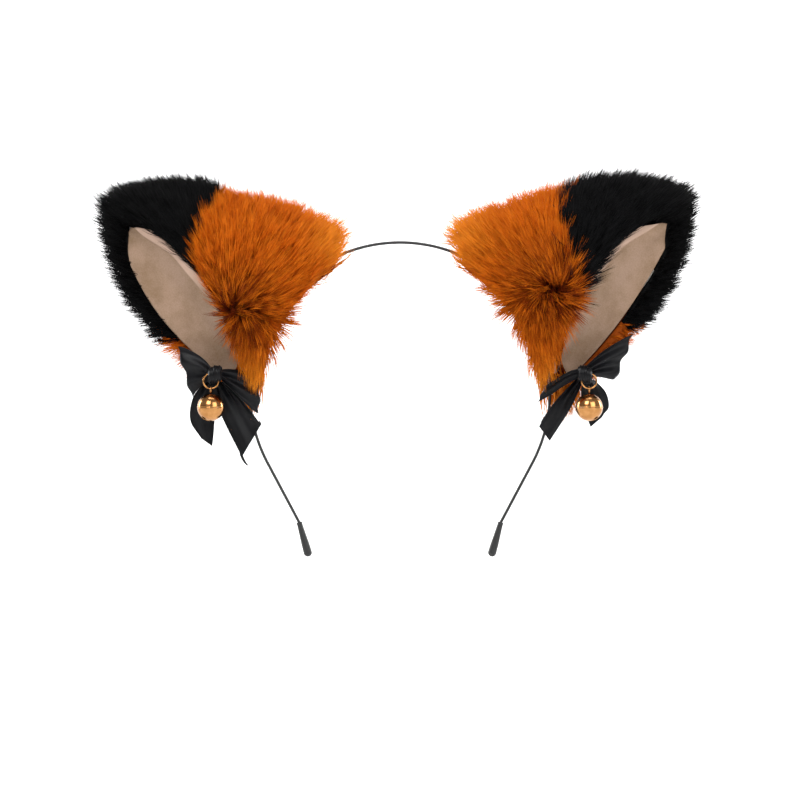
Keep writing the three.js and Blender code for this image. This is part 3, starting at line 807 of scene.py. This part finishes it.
def fur_backing(word, name, span, low, high, front, black, usual_pile):
    """The knitted backing of one panel, a closed slab that carries comb, pile, painted shade and
    painted light.
    """
    rows, columns = 36, 44
    # By the tip its free edge closes over the end of the lining.
    close = (-0.9, 0) if front else (0, 0.9)
    u, s, uvw, normal = skin_patch(span, low, high, rows, columns, close)
    outside = uvw + normal * BACKING_LIFT
    inside = uvw + normal * (BACKING_LIFT - BACKING_THICKNESS)
    both = np.concatenate([outside.reshape(-1, 3), inside.reshape(-1, 3)])
    side = SIDES[word]
    piece = mesh_piece(name, mirrored(to_part(both), side), slab_faces(rows, columns))
    if piece_is_inside_out(piece):
        piece.data.flip_normals()
    mesh = piece.data
    lie = comb_field(word, uvw, front)
    lie -= normal * np.sum(lie * normal, axis=-1, keepdims=True)
    lie = to_part(lie) - EAR_MIDDLE
    lie = mirrored(lie, side).reshape(-1, 3)
    add_vector(mesh, "comb", np.concatenate([lie, lie]))
    pile = pile_map(word, s, u, front, usual_pile).ravel() * MM
    add_float(mesh, "pile", np.concatenate([pile, pile]))
    # Painted shade: a little over the fur and more round the front's parting; the backing's underside
    # is painted fully dark.
    painted_shade = painted_shade_map(word, uvw, front, black).ravel()
    add_float(mesh, "painted_shade", np.concatenate([painted_shade, np.ones_like(painted_shade)]))
    # Painted light: the gold value pales the orange by the band and at the lower corners.
    gold = painted_light_map(uvw, black).ravel()
    add_float(mesh, "gold", np.concatenate([gold, gold]))
    # No hair on the cut edges, which face the lining or the next panel.
    hair = np.zeros((rows, columns))
    hair[1:-1, 1:-1] = 1
    add_float(mesh, "hair", np.concatenate([hair.ravel(), np.zeros(hair.size)]))
    add_float(mesh, "tint", np.full(len(both), 0.3))
    # The backing takes the hair's root colour, painted shade included.
    set_uv(mesh, "strand", np.tile([0.5, 0.0], (len(both), 1)))
    return piece


def piece_is_inside_out(piece):
    """Whether a closed shell's faces point inwards."""
    shape = bmesh.new()
    shape.from_mesh(piece.data)
    volume = shape.calc_volume(signed=True)
    shape.free()
    return volume < 0


def one_side_area(piece):
    """The area of one side of a thin piece, in square metres."""
    return sum(face.area for face in piece.data.polygons) / 2


def plant(piece, tree, locks, material, settings, seed):
    """Grows the fur on its backing and makes the result a plain mesh."""
    area = one_side_area(piece) * HAIRY_SHARE
    values = {"Locks": settings.locks_per_panel / area, "Stand": settings.stand,
              "Lean": settings.lean, "Scatter": settings.scatter, "Seed": seed,
              "Lock A": locks[0], "Lock B": locks[1], "Lock C": locks[2], "Material": material}
    modifier = piece.modifiers.new("fur", "NODES")
    modifier.node_group = tree
    for item in tree.interface.items_tree:
        if item.item_type == "SOCKET" and item.in_out == "INPUT" and item.name in values:
            modifier[item.identifier] = values[item.name]
    piece.update_tag()
    apply_modifiers(piece)


def fur_panels(word):
    """Each panel's name, run round the ear, lower and upper edges, and whether it is in front
    and whether it is black."""
    def seam(s):
        return seam_at(word, s)

    def end(s):
        return np.full_like(s, FUR_END)

    return [
        (f"front_base_fur_{word}", FRONT[word], fur_foot, seam, True, False),
        (f"back_base_fur_{word}", BACK[word], fur_foot, seam, False, False),
        (f"front_tip_fur_{word}", FRONT[word], seam, end, True, True),
        (f"back_tip_fur_{word}", BACK[word], seam, end, False, True),
    ]


def build_fur(settings):
    """Grows the four panels of each ear, every one from its own seed."""
    locks = [lock_mesh(f"lock_{k}", 11 + k) for k in range(3)]
    tree = fur_tree()
    seed = 1
    for word in SIDES:
        for name, span, low, high, front, black in fur_panels(word):
            colour = "black_fur" if black else "orange_fur"
            usual = (settings.black_pile if black else settings.orange_pile) / MM
            piece = fur_backing(word, f"{name}_pile", span, low, high, front, black, usual)
            plant(piece, tree, locks, MATERIALS[colour], settings, seed)
            finish_piece(piece, colour, f"ear_{word}", colour, name)
            seed += 1
    for lock in locks:
        bpy.data.objects.remove(lock)


def lining_foot(s):
    return 8 + 5 * (1 - np.sin(s / 2 * math.pi))


def lining_tip(s):
    """Rounded: furthest along the ear in the middle, 11 mm short of it at the sides."""
    return EAR_LENGTH - 9.3 - 11 * np.abs(s - 1) ** 2.2


def build_lining(word):
    """A leaf of suede with a turned hem along its inner edge and slight puckers."""
    rows, columns = 90, 46
    u, s, uvw, normal = skin_patch(LINING[word], lining_foot, lining_tip, rows, columns)
    along = u / EAR_LENGTH
    pucker = 0.45 * np.sin(along * 21 + 2.0 * s) * np.exp(-((s - 1.6) / 0.45) ** 2)
    pucker += 0.35 * np.sin(along * 13 - 1.5 * s + 1) * np.exp(-((s - 0.3) / 0.5) ** 2)
    across = np.linspace(0, 1, columns)[None, :] + 0 * u
    edge = 0.86 - 0.16 * smooth_step(along, 0.6, 0.9)
    turned_in = smooth_step(across - edge, 0, 0.03) * smooth_step(along, 0.3, 0.5)
    hem = 0.6 * turned_in + 0.35 * (1 - smooth_step(across, 0.05, 0.07))
    out = (pucker + hem)[..., None] * normal
    outside, inside = uvw + out + normal * 0.1, uvw + out - normal * 0.55
    both = np.concatenate([outside.reshape(-1, 3), inside.reshape(-1, 3)])
    name = f"lining_{word}"
    piece = mesh_piece(name, mirrored(to_part(both), SIDES[word]), slab_faces(rows, columns))
    if piece_is_inside_out(piece):
        piece.data.flip_normals()
    cloth = np.stack([uvw[..., 0], uvw[..., 1]], -1).reshape(-1, 2) * MM
    set_uv(piece.data, "cloth", np.concatenate([cloth, cloth]))
    # Painted highlight along the turned-in hem.
    add_float(piece.data, "hem", np.tile(0.5 * turned_in.ravel(), 2))
    finish_piece(piece, "suede", f"ear_{word}", "suede", f"inner_lining_{word}")


def build_padding(word):
    """The wadding core: the skin drawn in, with soft uneven swelling."""
    rows, columns = 26, 48
    u = np.linspace(0.17, 0.72, rows)[:, None].repeat(columns, 1) * EAR_LENGTH
    s = (np.arange(columns) / columns * SECTION_POINTS)[None, :].repeat(rows, 0)
    uvw = skin(u, s)
    middle = EAR_MIDDLE_V + EAR_MIDDLE_DRIFT * u / EAR_LENGTH
    swell = 1 + 0.02 * np.sin(u * 0.35) * np.sin(s * 2.2)
    uvw[..., 1] = middle + (uvw[..., 1] - middle) * 0.76 * swell
    uvw[..., 2] = uvw[..., 2] * 0.7 * swell - 1
    points = list(to_part(uvw).reshape(-1, 3))
    faces = []
    for i in range(rows - 1):
        for j in range(columns):
            here, after, k = i * columns, (i + 1) * columns, (j + 1) % columns
            faces.append((here + j, here + k, after + k, after + j))
    # The foot is drawn in by 3.5 mm and the top domed by 3 mm.
    for row, lift in ((0, 3.5), (rows - 1, 3.0)):
        ring = to_part(uvw)[row]
        points.append(ring.mean(0) + EAR_U * lift)
        for j in range(columns):
            faces.append((row * columns + j, row * columns + (j + 1) % columns, len(points) - 1))
    piece = mesh_piece(f"padding_{word}", mirrored(np.array(points), SIDES[word]), faces)
    fix_normals(piece)
    place = np.array([(p.co.x, p.co.z) for p in piece.data.vertices])
    set_uv(piece.data, "cloth", place)
    finish_piece(piece, "wadding", f"ear_{word}", "padding", f"ear_padding_{word}")


# ---- the bows -------------------------------------------------------------------------------
RIBBON_HALF_THICKNESS = 0.17
# How much wider and longer a strip is flat than where it shows, for its folds and gathers.
KNOT_HALF_WIDTH = 3.6
KNOT_HALF_HEIGHT = 4.6
KNOT_HALF_DEPTH = 3.9
KNOT_WALL = 0.4


def spline(values, t):
    """Smooth values through evenly spaced stations."""
    values = np.asarray(values, float)
    count = len(values)
    padded = np.concatenate([[2 * values[0] - values[1]], values, [2 * values[-1] - values[-2]]])
    x = np.clip(t, 0, 1) * (count - 1)
    i = np.minimum(x.astype(int), count - 2)
    f = x - i
    p0, p1, p2, p3 = (padded[i + k] for k in range(4))
    return 0.5 * (2 * p1 + (p2 - p0) * f + (2 * p0 - 5 * p1 + 4 * p2 - p3) * f**2
                  + (3 * p1 - p0 - 3 * p2 + p3) * f**3)


def ribbon_piece(name, centre, width, turn, pleats, word, cut=0.0, rows=64, columns=26):
    """A strip of ribbon: its middle line, width, direction across and pleats at the knot.
    pleats are (depth, count, phase, how soon they fade), and cut slants the end."""
    t = np.linspace(0, 1, rows)
    line = np.stack([spline([c[k] for c in centre], t) for k in range(3)], -1)
    wide = spline(width, t)
    angle = np.radians(spline(turn, t))
    across = np.stack([np.cos(angle), np.zeros(rows), np.sin(angle)], -1)
    j = np.linspace(-0.5, 0.5, columns)[None, :, None]
    grid = line[:, None] + across[:, None] * wide[:, None, None] * j
    tangent = np.gradient(line, axis=0)
    tangent /= np.linalg.norm(tangent, axis=1, keepdims=True)
    grid = grid + tangent[:, None] * (cut * j * smooth_step(t, 0.55, 1.0)[:, None, None])
    normal = np.cross(tangent, across)
    normal /= np.linalg.norm(normal, axis=1, keepdims=True)
    depth, count, phase, fade = pleats
    fold = depth * np.cos(2 * math.pi * count * j[..., 0] + phase) * np.exp(-t[:, None] * fade)
    grid = grid + normal[:, None] * fold[..., None]
    half = normal[:, None] * RIBBON_HALF_THICKNESS
    outside, inside = grid + half, grid - half
    both = np.concatenate([outside.reshape(-1, 3), inside.reshape(-1, 3)])
    piece = mesh_piece(name, mirrored(both, SIDES[word]), slab_faces(rows, columns))
    fix_normals(piece)
    length = np.concatenate([[0], np.cumsum(np.linalg.norm(np.diff(line, axis=0), axis=1))])
    cloth = np.stack(np.broadcast_arrays(length[:, None], 20 * j[..., 0]), -1).reshape(-1, 2) * MM
    set_uv(piece.data, "cloth", np.concatenate([cloth, cloth]))
    return piece, length[-1]


def add_ribbon(name, node, word, **shape):
    """One strip as a finished sheet that stands for its node."""
    piece, length = ribbon_piece(f"{name}_{word}", word=word, **shape)
    finish_piece(piece, "satin", f"ear_{word}", "satin", node)


# Each bow's ribbons about its knot: middle-line points as (x out, y, z), widths and turns.
BOWS = {
    "left": {
        "loop_outer": dict(
            centre=[(-2, 0, 0), (-7.5, 2.5, 1), (-14, 5, 1.4), (-16, 6.5, 1.4),
                    (-14, 9, 1.4), (-7.5, 7.5, 1), (-2, 4, 0)],
            width=[5, 15, 25, 27, 25, 15, 5], turn=[75, 84, 100, 106, 100, 84, 75],
            pleats=(1.5, 2.2, 0.4, 1.5)),
        "loop_inner": dict(
            centre=[(2, 0, 0), (9, 2, -3.5), (18.5, 4, -8.5), (22.5, 5.5, -10.5),
                    (18.5, 8, -8.5), (9, 7, -3.5), (2, 4, 0)],
            width=[5, 13, 19, 19, 19, 13, 5], turn=[110, 102, 92, 88, 92, 102, 110],
            pleats=(1.5, 2.1, 1.9, 1.4)),
        "tail_outer": dict(
            centre=[(-2.5, 6, -3), (-5.5, 8.8, -12), (-7, 10.6, -23), (-5, 11, -35)],
            width=[5, 13, 13, 5], turn=[0, 0, 12, 22], pleats=(1.2, 1.6, 0.5, 1.3), cut=6.0),
        "tail_inner": dict(
            centre=[(1.5, 6, -3), (7, 8.0, -12), (13, 8.2, -23.5), (18.5, 7.4, -34)],
            width=[5, 15, 23, 25], turn=[-14, -16, -18, -20], pleats=(1.4, 1.9, 2.2, 1.3),
            cut=-29.0),
    },
    "right": {
        "loop_outer": dict(
            centre=[(-1, 0, 1.5), (-9, 2.5, 5), (-17.5, 5, 8), (-20.5, 6.5, 9.2),
                    (-17.5, 9, 8), (-9, 7.5, 5), (-1, 4, 1.5)],
            width=[5, 13, 22, 25, 22, 13, 5], turn=[75, 90, 105, 112, 105, 90, 75],
            pleats=(1.7, 2.1, 1.4, 1.3)),
        "loop_inner": dict(
            centre=[(2, 0, 1), (9, 2, -2), (17, 4, -7), (22, 5.5, -10),
                    (17, 8, -7), (9, 7, -2), (2, 4, 1)],
            width=[5, 8, 10, 9, 10, 8, 5], turn=[110, 112, 116, 116, 116, 112, 110],
            pleats=(0.8, 1.6, 0.6, 1.6)),
        "tail_outer": dict(
            centre=[(-2, 6, -3), (-5, 8.8, -9), (-6.2, 10.6, -16), (-6.6, 11, -24.5)],
            width=[6, 13, 14, 7], turn=[0, 6, 14, 24], pleats=(1.2, 1.6, 2.0, 1.3), cut=8.0),
        "tail_inner": dict(
            centre=[(2.5, 6, -2), (9, 8.0, -11.5), (15, 8.2, -21.5), (20.5, 7.4, -30.5)],
            width=[5, 12, 16, 15], turn=[-14, -18, -22, -24], pleats=(1.3, 1.7, 0.2, 1.2),
            cut=-16.0),
    },
}


def build_bow(word):
    """The bow's two loops, two tails and the knot over them."""
    for name, shape in BOWS[word].items():
        placed = dict(shape, centre=[KNOT_CENTRE + np.array(c) for c in shape["centre"]])
        add_ribbon(f"ribbon_{name}", f"bow_{name}_{word}", word, **placed)
    build_knot(word)


def build_thread(word):
    """The frayed end that curls from the corner of a bow's wide tail."""
    curl = [(12.6, -39), (13.0, -41.5), (13.8, -43.6), (14.9, -45.4), (16.3, -47)]
    path = KNOT_CENTRE + np.array([(x, 10.4, z) for x, z in curl])
    points, faces = sweep(path, np.array([0.9, 0.8, 0.7, 0.6, 0.3]), 10)
    piece = mesh_piece(f"ribbon_thread_{word}", mirrored(points, SIDES[word]), faces)
    fix_normals(piece)
    set_uv(piece.data, "cloth", points[:, ::2] * MM)
    finish_piece(piece, "satin", f"ear_{word}", "satin")


def build_knot(word):
    """The wrap over the bow's middle: a plump band of ribbon with creases along it."""
    rows, columns = 44, 49
    lat = np.linspace(-1, 1, rows)[:, None]
    lon = np.linspace(0, 2 * math.pi, columns)[None, :]
    belly = 1 - 0.3 * np.abs(lat) ** 2.4
    crease = 0.2 * np.cos(lat * 9.5) + 0.14 * np.cos(lat * 17 + np.cos(lon) * 1.5)
    layers = []
    for wall in (0, KNOT_WALL):
        high = (KNOT_HALF_HEIGHT + crease) * belly - wall
        deep = (KNOT_HALF_DEPTH + crease) * belly - wall
        x = KNOT_HALF_WIDTH * lat + 0 * lon
        layers.append(np.stack([x, deep * np.sin(lon), high * np.cos(lon) + 0.22 * x], -1))
    points = np.concatenate([layer.reshape(-1, 3) for layer in layers]) + KNOT_CENTRE
    faces = grid_faces(rows, columns) + grid_faces(rows, columns, rows * columns, True)
    for row in (0, rows - 1):
        for j in range(columns - 1):
            a = row * columns + j
            faces.append((a, a + 1, a + 1 + rows * columns, a + rows * columns))
    piece = mesh_piece(f"bow_knot_wrap_{word}", mirrored(points, SIDES[word]), faces)
    cloth = np.stack(np.broadcast_arrays(lon * 4, lat * 3.5), -1).reshape(-1, 2) * MM
    set_uv(piece.data, "cloth", np.concatenate([cloth, cloth]))
    fix_normals(piece)
    finish_piece(piece, "satin", f"ear_{word}", "satin", f"bow_knot_{word}")


# ---- the bells ------------------------------------------------------------------------------
BELL_RADIUS = 7.0
BELL_WALL = 0.45
RING_RADIUS = 3.8
RING_WIRE = 0.45
EYE_RADIUS = 1.6
EYE_WIRE = 0.4
BELL_LIP = 0.18
# Half the gap between the shells, and the radius at which each one's pole closes.
BELL_HALF_GAP = 0.03
BELL_POLE_RADIUS = 0.02
SLOT_HALF_WIDTH = 0.75
SLOT_HOLE_RADIUS = 1.35
# How far each bell's slot is turned about the bell's upright line, in degrees.
SLOT_TURN = {"left": 35, "right": -35}


def half_bell(sign, segments=96, steps=22):
    """One half of the bell with a rolled lip at the joint; sign is the pole's direction."""
    outside, inside = [], []
    inner = BELL_RADIUS - BELL_WALL
    for i in range(steps + 1):
        turn = i / steps * math.pi / 2
        radius = BELL_RADIUS + BELL_LIP * math.exp(-((turn / 0.05) ** 2))
        outside.append((radius * math.cos(turn), radius * math.sin(turn) + BELL_HALF_GAP))
        inside.append((inner * math.cos(turn), inner * math.sin(turn) + BELL_HALF_GAP))
    pole = [(BELL_POLE_RADIUS, outside[-1][1]), (BELL_POLE_RADIUS, inside[-1][1])]
    profile = outside[:-1] + pole + inside[-2::-1]
    points, faces = lathe(profile, segments)
    points[:, 2] *= sign
    return points, faces


def cutter(name, points, faces):
    """A closed shape to cut with."""
    piece = mesh_piece(name, points, faces)
    fix_normals(piece)
    return piece


def cut_slot(piece, word):
    """Cuts the sound slot and the round hole at each of its ends."""
    reach, half = BELL_RADIUS * 0.66, SLOT_HALF_WIDTH
    turn = math.radians(SLOT_TURN[word])
    cos, sin = math.cos(turn), math.sin(turn)
    spin = np.array([[cos, -sin, 0], [sin, cos, 0], [0, 0, 1]])
    centre = mirrored(BELL_CENTRE, SIDES[word])
    box = np.array([(x, y, z) for x in (-reach, reach) for y in (-half, half) for z in (-9, -1.5)])
    box_faces = [(0, 1, 3, 2), (4, 6, 7, 5), (0, 4, 5, 1), (2, 3, 7, 6), (0, 2, 6, 4), (1, 5, 7, 3)]
    tools = [cutter("slot_cut", box @ spin.T + centre, box_faces)]
    for side in (-1, 1):
        path = [(side * reach * 0.4, 0, -1.6), (side * reach * 1.25, 0, -8.0)]
        points, faces = sweep(path, SLOT_HOLE_RADIUS, 24)
        tools.append(cutter(f"hole_cut_{side}", points @ spin.T + centre, faces))
    for tool in tools:
        modifier = piece.modifiers.new("cut", "BOOLEAN")
        modifier.operation = "DIFFERENCE"
        modifier.solver = "EXACT"
        modifier.object = tool
    bpy.context.view_layer.update()
    apply_modifiers(piece)
    for tool in tools:
        bpy.data.objects.remove(tool)


def build_bell(word):
    """Two pressed shells with the eye on top, hung from the bow by a jump ring."""
    side = SIDES[word]
    for name, sign in (("upper", 1), ("lower", -1)):
        points, faces = half_bell(sign)
        piece = mesh_piece(f"bell_{name}_shell_{word}", mirrored(points + BELL_CENTRE, side), faces)
        fix_normals(piece)
        if name == "lower":
            cut_slot(piece, word)
        finish_piece(piece, "gold", f"bell_{word}", "gold", f"bell_{name}_{word}")
    turn = np.linspace(0, 2 * math.pi, 72, endpoint=False)
    ring = np.stack([np.cos(turn), 0 * turn, np.sin(turn)], -1) * RING_RADIUS + RING_CENTRE
    add_hoop(f"ring_{word}", ring, RING_WIRE, side, f"ring_{word}", f"jump_ring_{word}")
    eye = np.stack([0 * turn, np.cos(turn), np.sin(turn)], -1) * EYE_RADIUS + EYE_CENTRE
    add_hoop(f"eye_{word}", eye, EYE_WIRE, side, f"bell_{word}", f"bell_eye_{word}")


def add_hoop(name, path, wire, side, body, node):
    """A closed ring of round wire."""
    points, faces = sweep(path, wire, 16, closed=True)
    piece = mesh_piece(name, mirrored(points, side), faces)
    fix_normals(piece)
    finish_piece(piece, "gold", body, "gold", node)


# ---- carried-over nodes ---------------------------------------------------------------------
def dress_nodes():
    """Gives the frame's own visible nodes their materials."""
    wear = {"ear_armature": "steel", "band_sleeve": "felt", "base_felt": "felt",
            "bell_pellet": "steel"}
    for word in SIDES:
        for node, material in wear.items():
            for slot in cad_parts[f"{node}_{word}"].material_slots:
                slot.material = MATERIALS[material]


# ---- the stage ------------------------------------------------------------------------------
VIEW_MIDDLE_Z = -81.1
VIEW_WIDTH = 416
CAMERA_DISTANCE = 1500
FLOOR_Z = -208
SENSOR = 36
FLOOR_REACH = 3500
# The backdrop starts behind where a camera stands to see the back.
BACKDROP_Y = 1700
BACKDROP_BEND = 500
BEND_STEPS = 12


def build_stage():
    """A white floor that curves up into a backdrop, and soft light from above and both sides."""
    profile = [(-FLOOR_REACH, FLOOR_Z), (BACKDROP_Y, FLOOR_Z)]
    for i in range(1, BEND_STEPS + 1):
        turn = i / BEND_STEPS * math.pi / 2
        profile.append((BACKDROP_Y + BACKDROP_BEND * math.sin(turn),
                        FLOOR_Z + BACKDROP_BEND * (1 - math.cos(turn))))
    profile.append((BACKDROP_Y + BACKDROP_BEND, FLOOR_REACH))
    points = [(x, y, z) for y, z in profile for x in (-FLOOR_REACH, FLOOR_REACH)]
    faces = [(2 * i, 2 * i + 1, 2 * i + 3, 2 * i + 2) for i in range(len(profile) - 1)]
    floor = mesh_piece("studio_floor", points, faces)
    # Seamless background paper: white and matt.
    material, _, shader = blank_material("white_paper_sweep")
    set_shader(shader, Base_Color=linear("#f6f6f6"), Roughness=0.9)
    floor.data.materials.append(material)
    add_light("key", (-500, -1100, 900), 700, 15)
    add_light("fill", (700, -1000, 500), 800, 9)
    add_light("top", (0, 100, 1300), 900, 10)
    add_light("back", (0, 900, 900), 900, 3)
    for name, x in (("backdrop_left", -1900), ("backdrop_right", 1900)):
        add_light(name, (x, 900, 500), 1000, 50, aim=(0, 2200, 0))
    world = bpy.data.worlds.new("studio")
    world.use_nodes = True
    background = world.node_tree.nodes["Background"]
    background.inputs["Color"].default_value = linear("#ffffff")
    background.inputs["Strength"].default_value = 0.42
    bpy.context.scene.world = world
    bpy.context.scene.view_settings.view_transform = "Standard"


def add_light(name, place, size, watts, aim=(0, 0, VIEW_MIDDLE_Z)):
    """A square soft light, its place, size and aim in millimetres."""
    lamp = bpy.data.lights.new(name, "AREA")
    lamp.shape = "SQUARE"
    lamp.size = size * MM
    lamp.energy = watts
    light = link(name, lamp)
    light.location = Vector(place) * MM
    towards = Vector(aim) * MM - light.location
    light.rotation_euler = towards.to_track_quat("-Z", "Y").to_euler()


def build_camera():
    """Straight on from the front, far enough back for little perspective."""
    camera = bpy.data.cameras.new("camera")
    camera.sensor_width = SENSOR
    camera.lens = SENSOR * CAMERA_DISTANCE / VIEW_WIDTH
    camera.clip_end = 50
    eye = link("camera", camera)
    eye.location = Vector((0, -CAMERA_DISTANCE, VIEW_MIDDLE_Z)) * MM
    eye.rotation_euler = (math.pi / 2, 0, 0)
    bpy.context.scene.camera = eye


# ---- the add-on -----------------------------------------------------------------------------
class HeadbandFurSettings(bpy.types.PropertyGroup):
    """How the fur grows."""
    locks_per_panel: bpy.props.IntProperty(
        name="Locks", description="Locks of hair on each fur panel", default=3050, min=100)
    orange_pile: bpy.props.FloatProperty(
        name="Orange pile", description="Usual length of the orange hair", default=0.0165,
        min=0.001, unit="LENGTH")
    black_pile: bpy.props.FloatProperty(
        name="Black pile", description="Usual length of the black hair", default=0.018,
        min=0.001, unit="LENGTH")
    stand: bpy.props.FloatProperty(
        name="Stand", description="How upright the hair is", default=0.55,
        min=0.0, max=1.0, subtype="FACTOR")
    lean: bpy.props.FloatProperty(
        name="Lean", description="How far the hair lies along its nap", default=0.62,
        min=0.0, max=1.0, subtype="FACTOR")
    scatter: bpy.props.FloatProperty(
        name="Scatter", description="How unruly the hair is", default=0.27,
        min=0.0, max=1.0, subtype="FACTOR")


class HeadbandColours(bpy.types.PropertyGroup):
    """The colours that the headband is sold in."""
    orange_fur: bpy.props.FloatVectorProperty(
        name="Base fur", description="Tips of the fur at the ear's base", size=4,
        min=0.0, max=1.0, subtype="COLOR", default=linear("#d06203"))
    black_fur: bpy.props.FloatVectorProperty(
        name="Tip fur", description="Tips of the fur at the ear's end", size=4,
        min=0.0, max=1.0, subtype="COLOR", default=linear("#0a0a0b"))
    suede: bpy.props.FloatVectorProperty(
        name="Lining", description="Raised nap of the inner ear's suede", size=4,
        min=0.0, max=1.0, subtype="COLOR", default=linear("#937a67"))
    bells: bpy.props.FloatVectorProperty(
        name="Bells", description="Plating of the bells and rings", size=4,
        min=0.0, max=1.0, subtype="COLOR", default=linear("#b2814f"))


class HEADBAND_OT_stage(bpy.types.Operator):
    """Sets up the camera, backdrop and lights"""
    bl_idname = "headband.stage"
    bl_label = "Stage"

    def execute(self, context):
        build_camera()
        build_stage()
        return {"FINISHED"}


class HEADBAND_OT_band(bpy.types.Operator):
    """Makes the materials, the wire band and its soft caps"""
    bl_idname = "headband.band"
    bl_label = "Band"

    def execute(self, context):
        make_materials(context.scene.headband_colours)
        build_band()
        dress_nodes()
        return {"FINISHED"}


class HEADBAND_OT_ears(bpy.types.Operator):
    """Makes each ear's padding and suede lining"""
    bl_idname = "headband.ears"
    bl_label = "Ear linings"

    def execute(self, context):
        for word in SIDES:
            build_padding(word)
            build_lining(word)
        return {"FINISHED"}


class HEADBAND_OT_bows(bpy.types.Operator):
    """Ties the ribbon bows"""
    bl_idname = "headband.bows"
    bl_label = "Bows"

    def execute(self, context):
        for word in SIDES:
            build_bow(word)
        build_thread("left")
        return {"FINISHED"}


class HEADBAND_OT_bells(bpy.types.Operator):
    """Makes the jingle bells with their rings and eyes"""
    bl_idname = "headband.bells"
    bl_label = "Bells"

    def execute(self, context):
        for word in SIDES:
            build_bell(word)
        return {"FINISHED"}


class HEADBAND_OT_fur(bpy.types.Operator):
    """Grows the orange and black fur"""
    bl_idname = "headband.fur"
    bl_label = "Fur"

    def execute(self, context):
        build_fur(context.scene.headband_fur)
        return {"FINISHED"}


STEPS = (HEADBAND_OT_stage, HEADBAND_OT_band, HEADBAND_OT_ears, HEADBAND_OT_bows,
         HEADBAND_OT_bells, HEADBAND_OT_fur)


class HEADBAND_PT_panel(bpy.types.Panel):
    """Lists the headband's settings and steps"""
    bl_idname = "HEADBAND_PT_panel"
    bl_label = "Animal Ears Headband"
    bl_space_type = "VIEW_3D"
    bl_region_type = "UI"
    bl_category = "Headband"

    def draw(self, context):
        for group in (context.scene.headband_fur, context.scene.headband_colours):
            for field in group.__annotations__:
                self.layout.prop(group, field)
        for step in STEPS:
            self.layout.operator(step.bl_idname)


CLASSES = (HeadbandFurSettings, HeadbandColours, *STEPS, HEADBAND_PT_panel)


def register():
    for cls in CLASSES:
        bpy.utils.register_class(cls)
    bpy.types.Scene.headband_fur = bpy.props.PointerProperty(type=HeadbandFurSettings)
    bpy.types.Scene.headband_colours = bpy.props.PointerProperty(type=HeadbandColours)


def unregister():
    del bpy.types.Scene.headband_colours
    del bpy.types.Scene.headband_fur
    for cls in reversed(CLASSES):
        bpy.utils.unregister_class(cls)


def main():
    register()
    for step in STEPS:
        getattr(bpy.ops.headband, step.bl_idname.split(".")[1])()


if __name__ == "__main__":
    main()
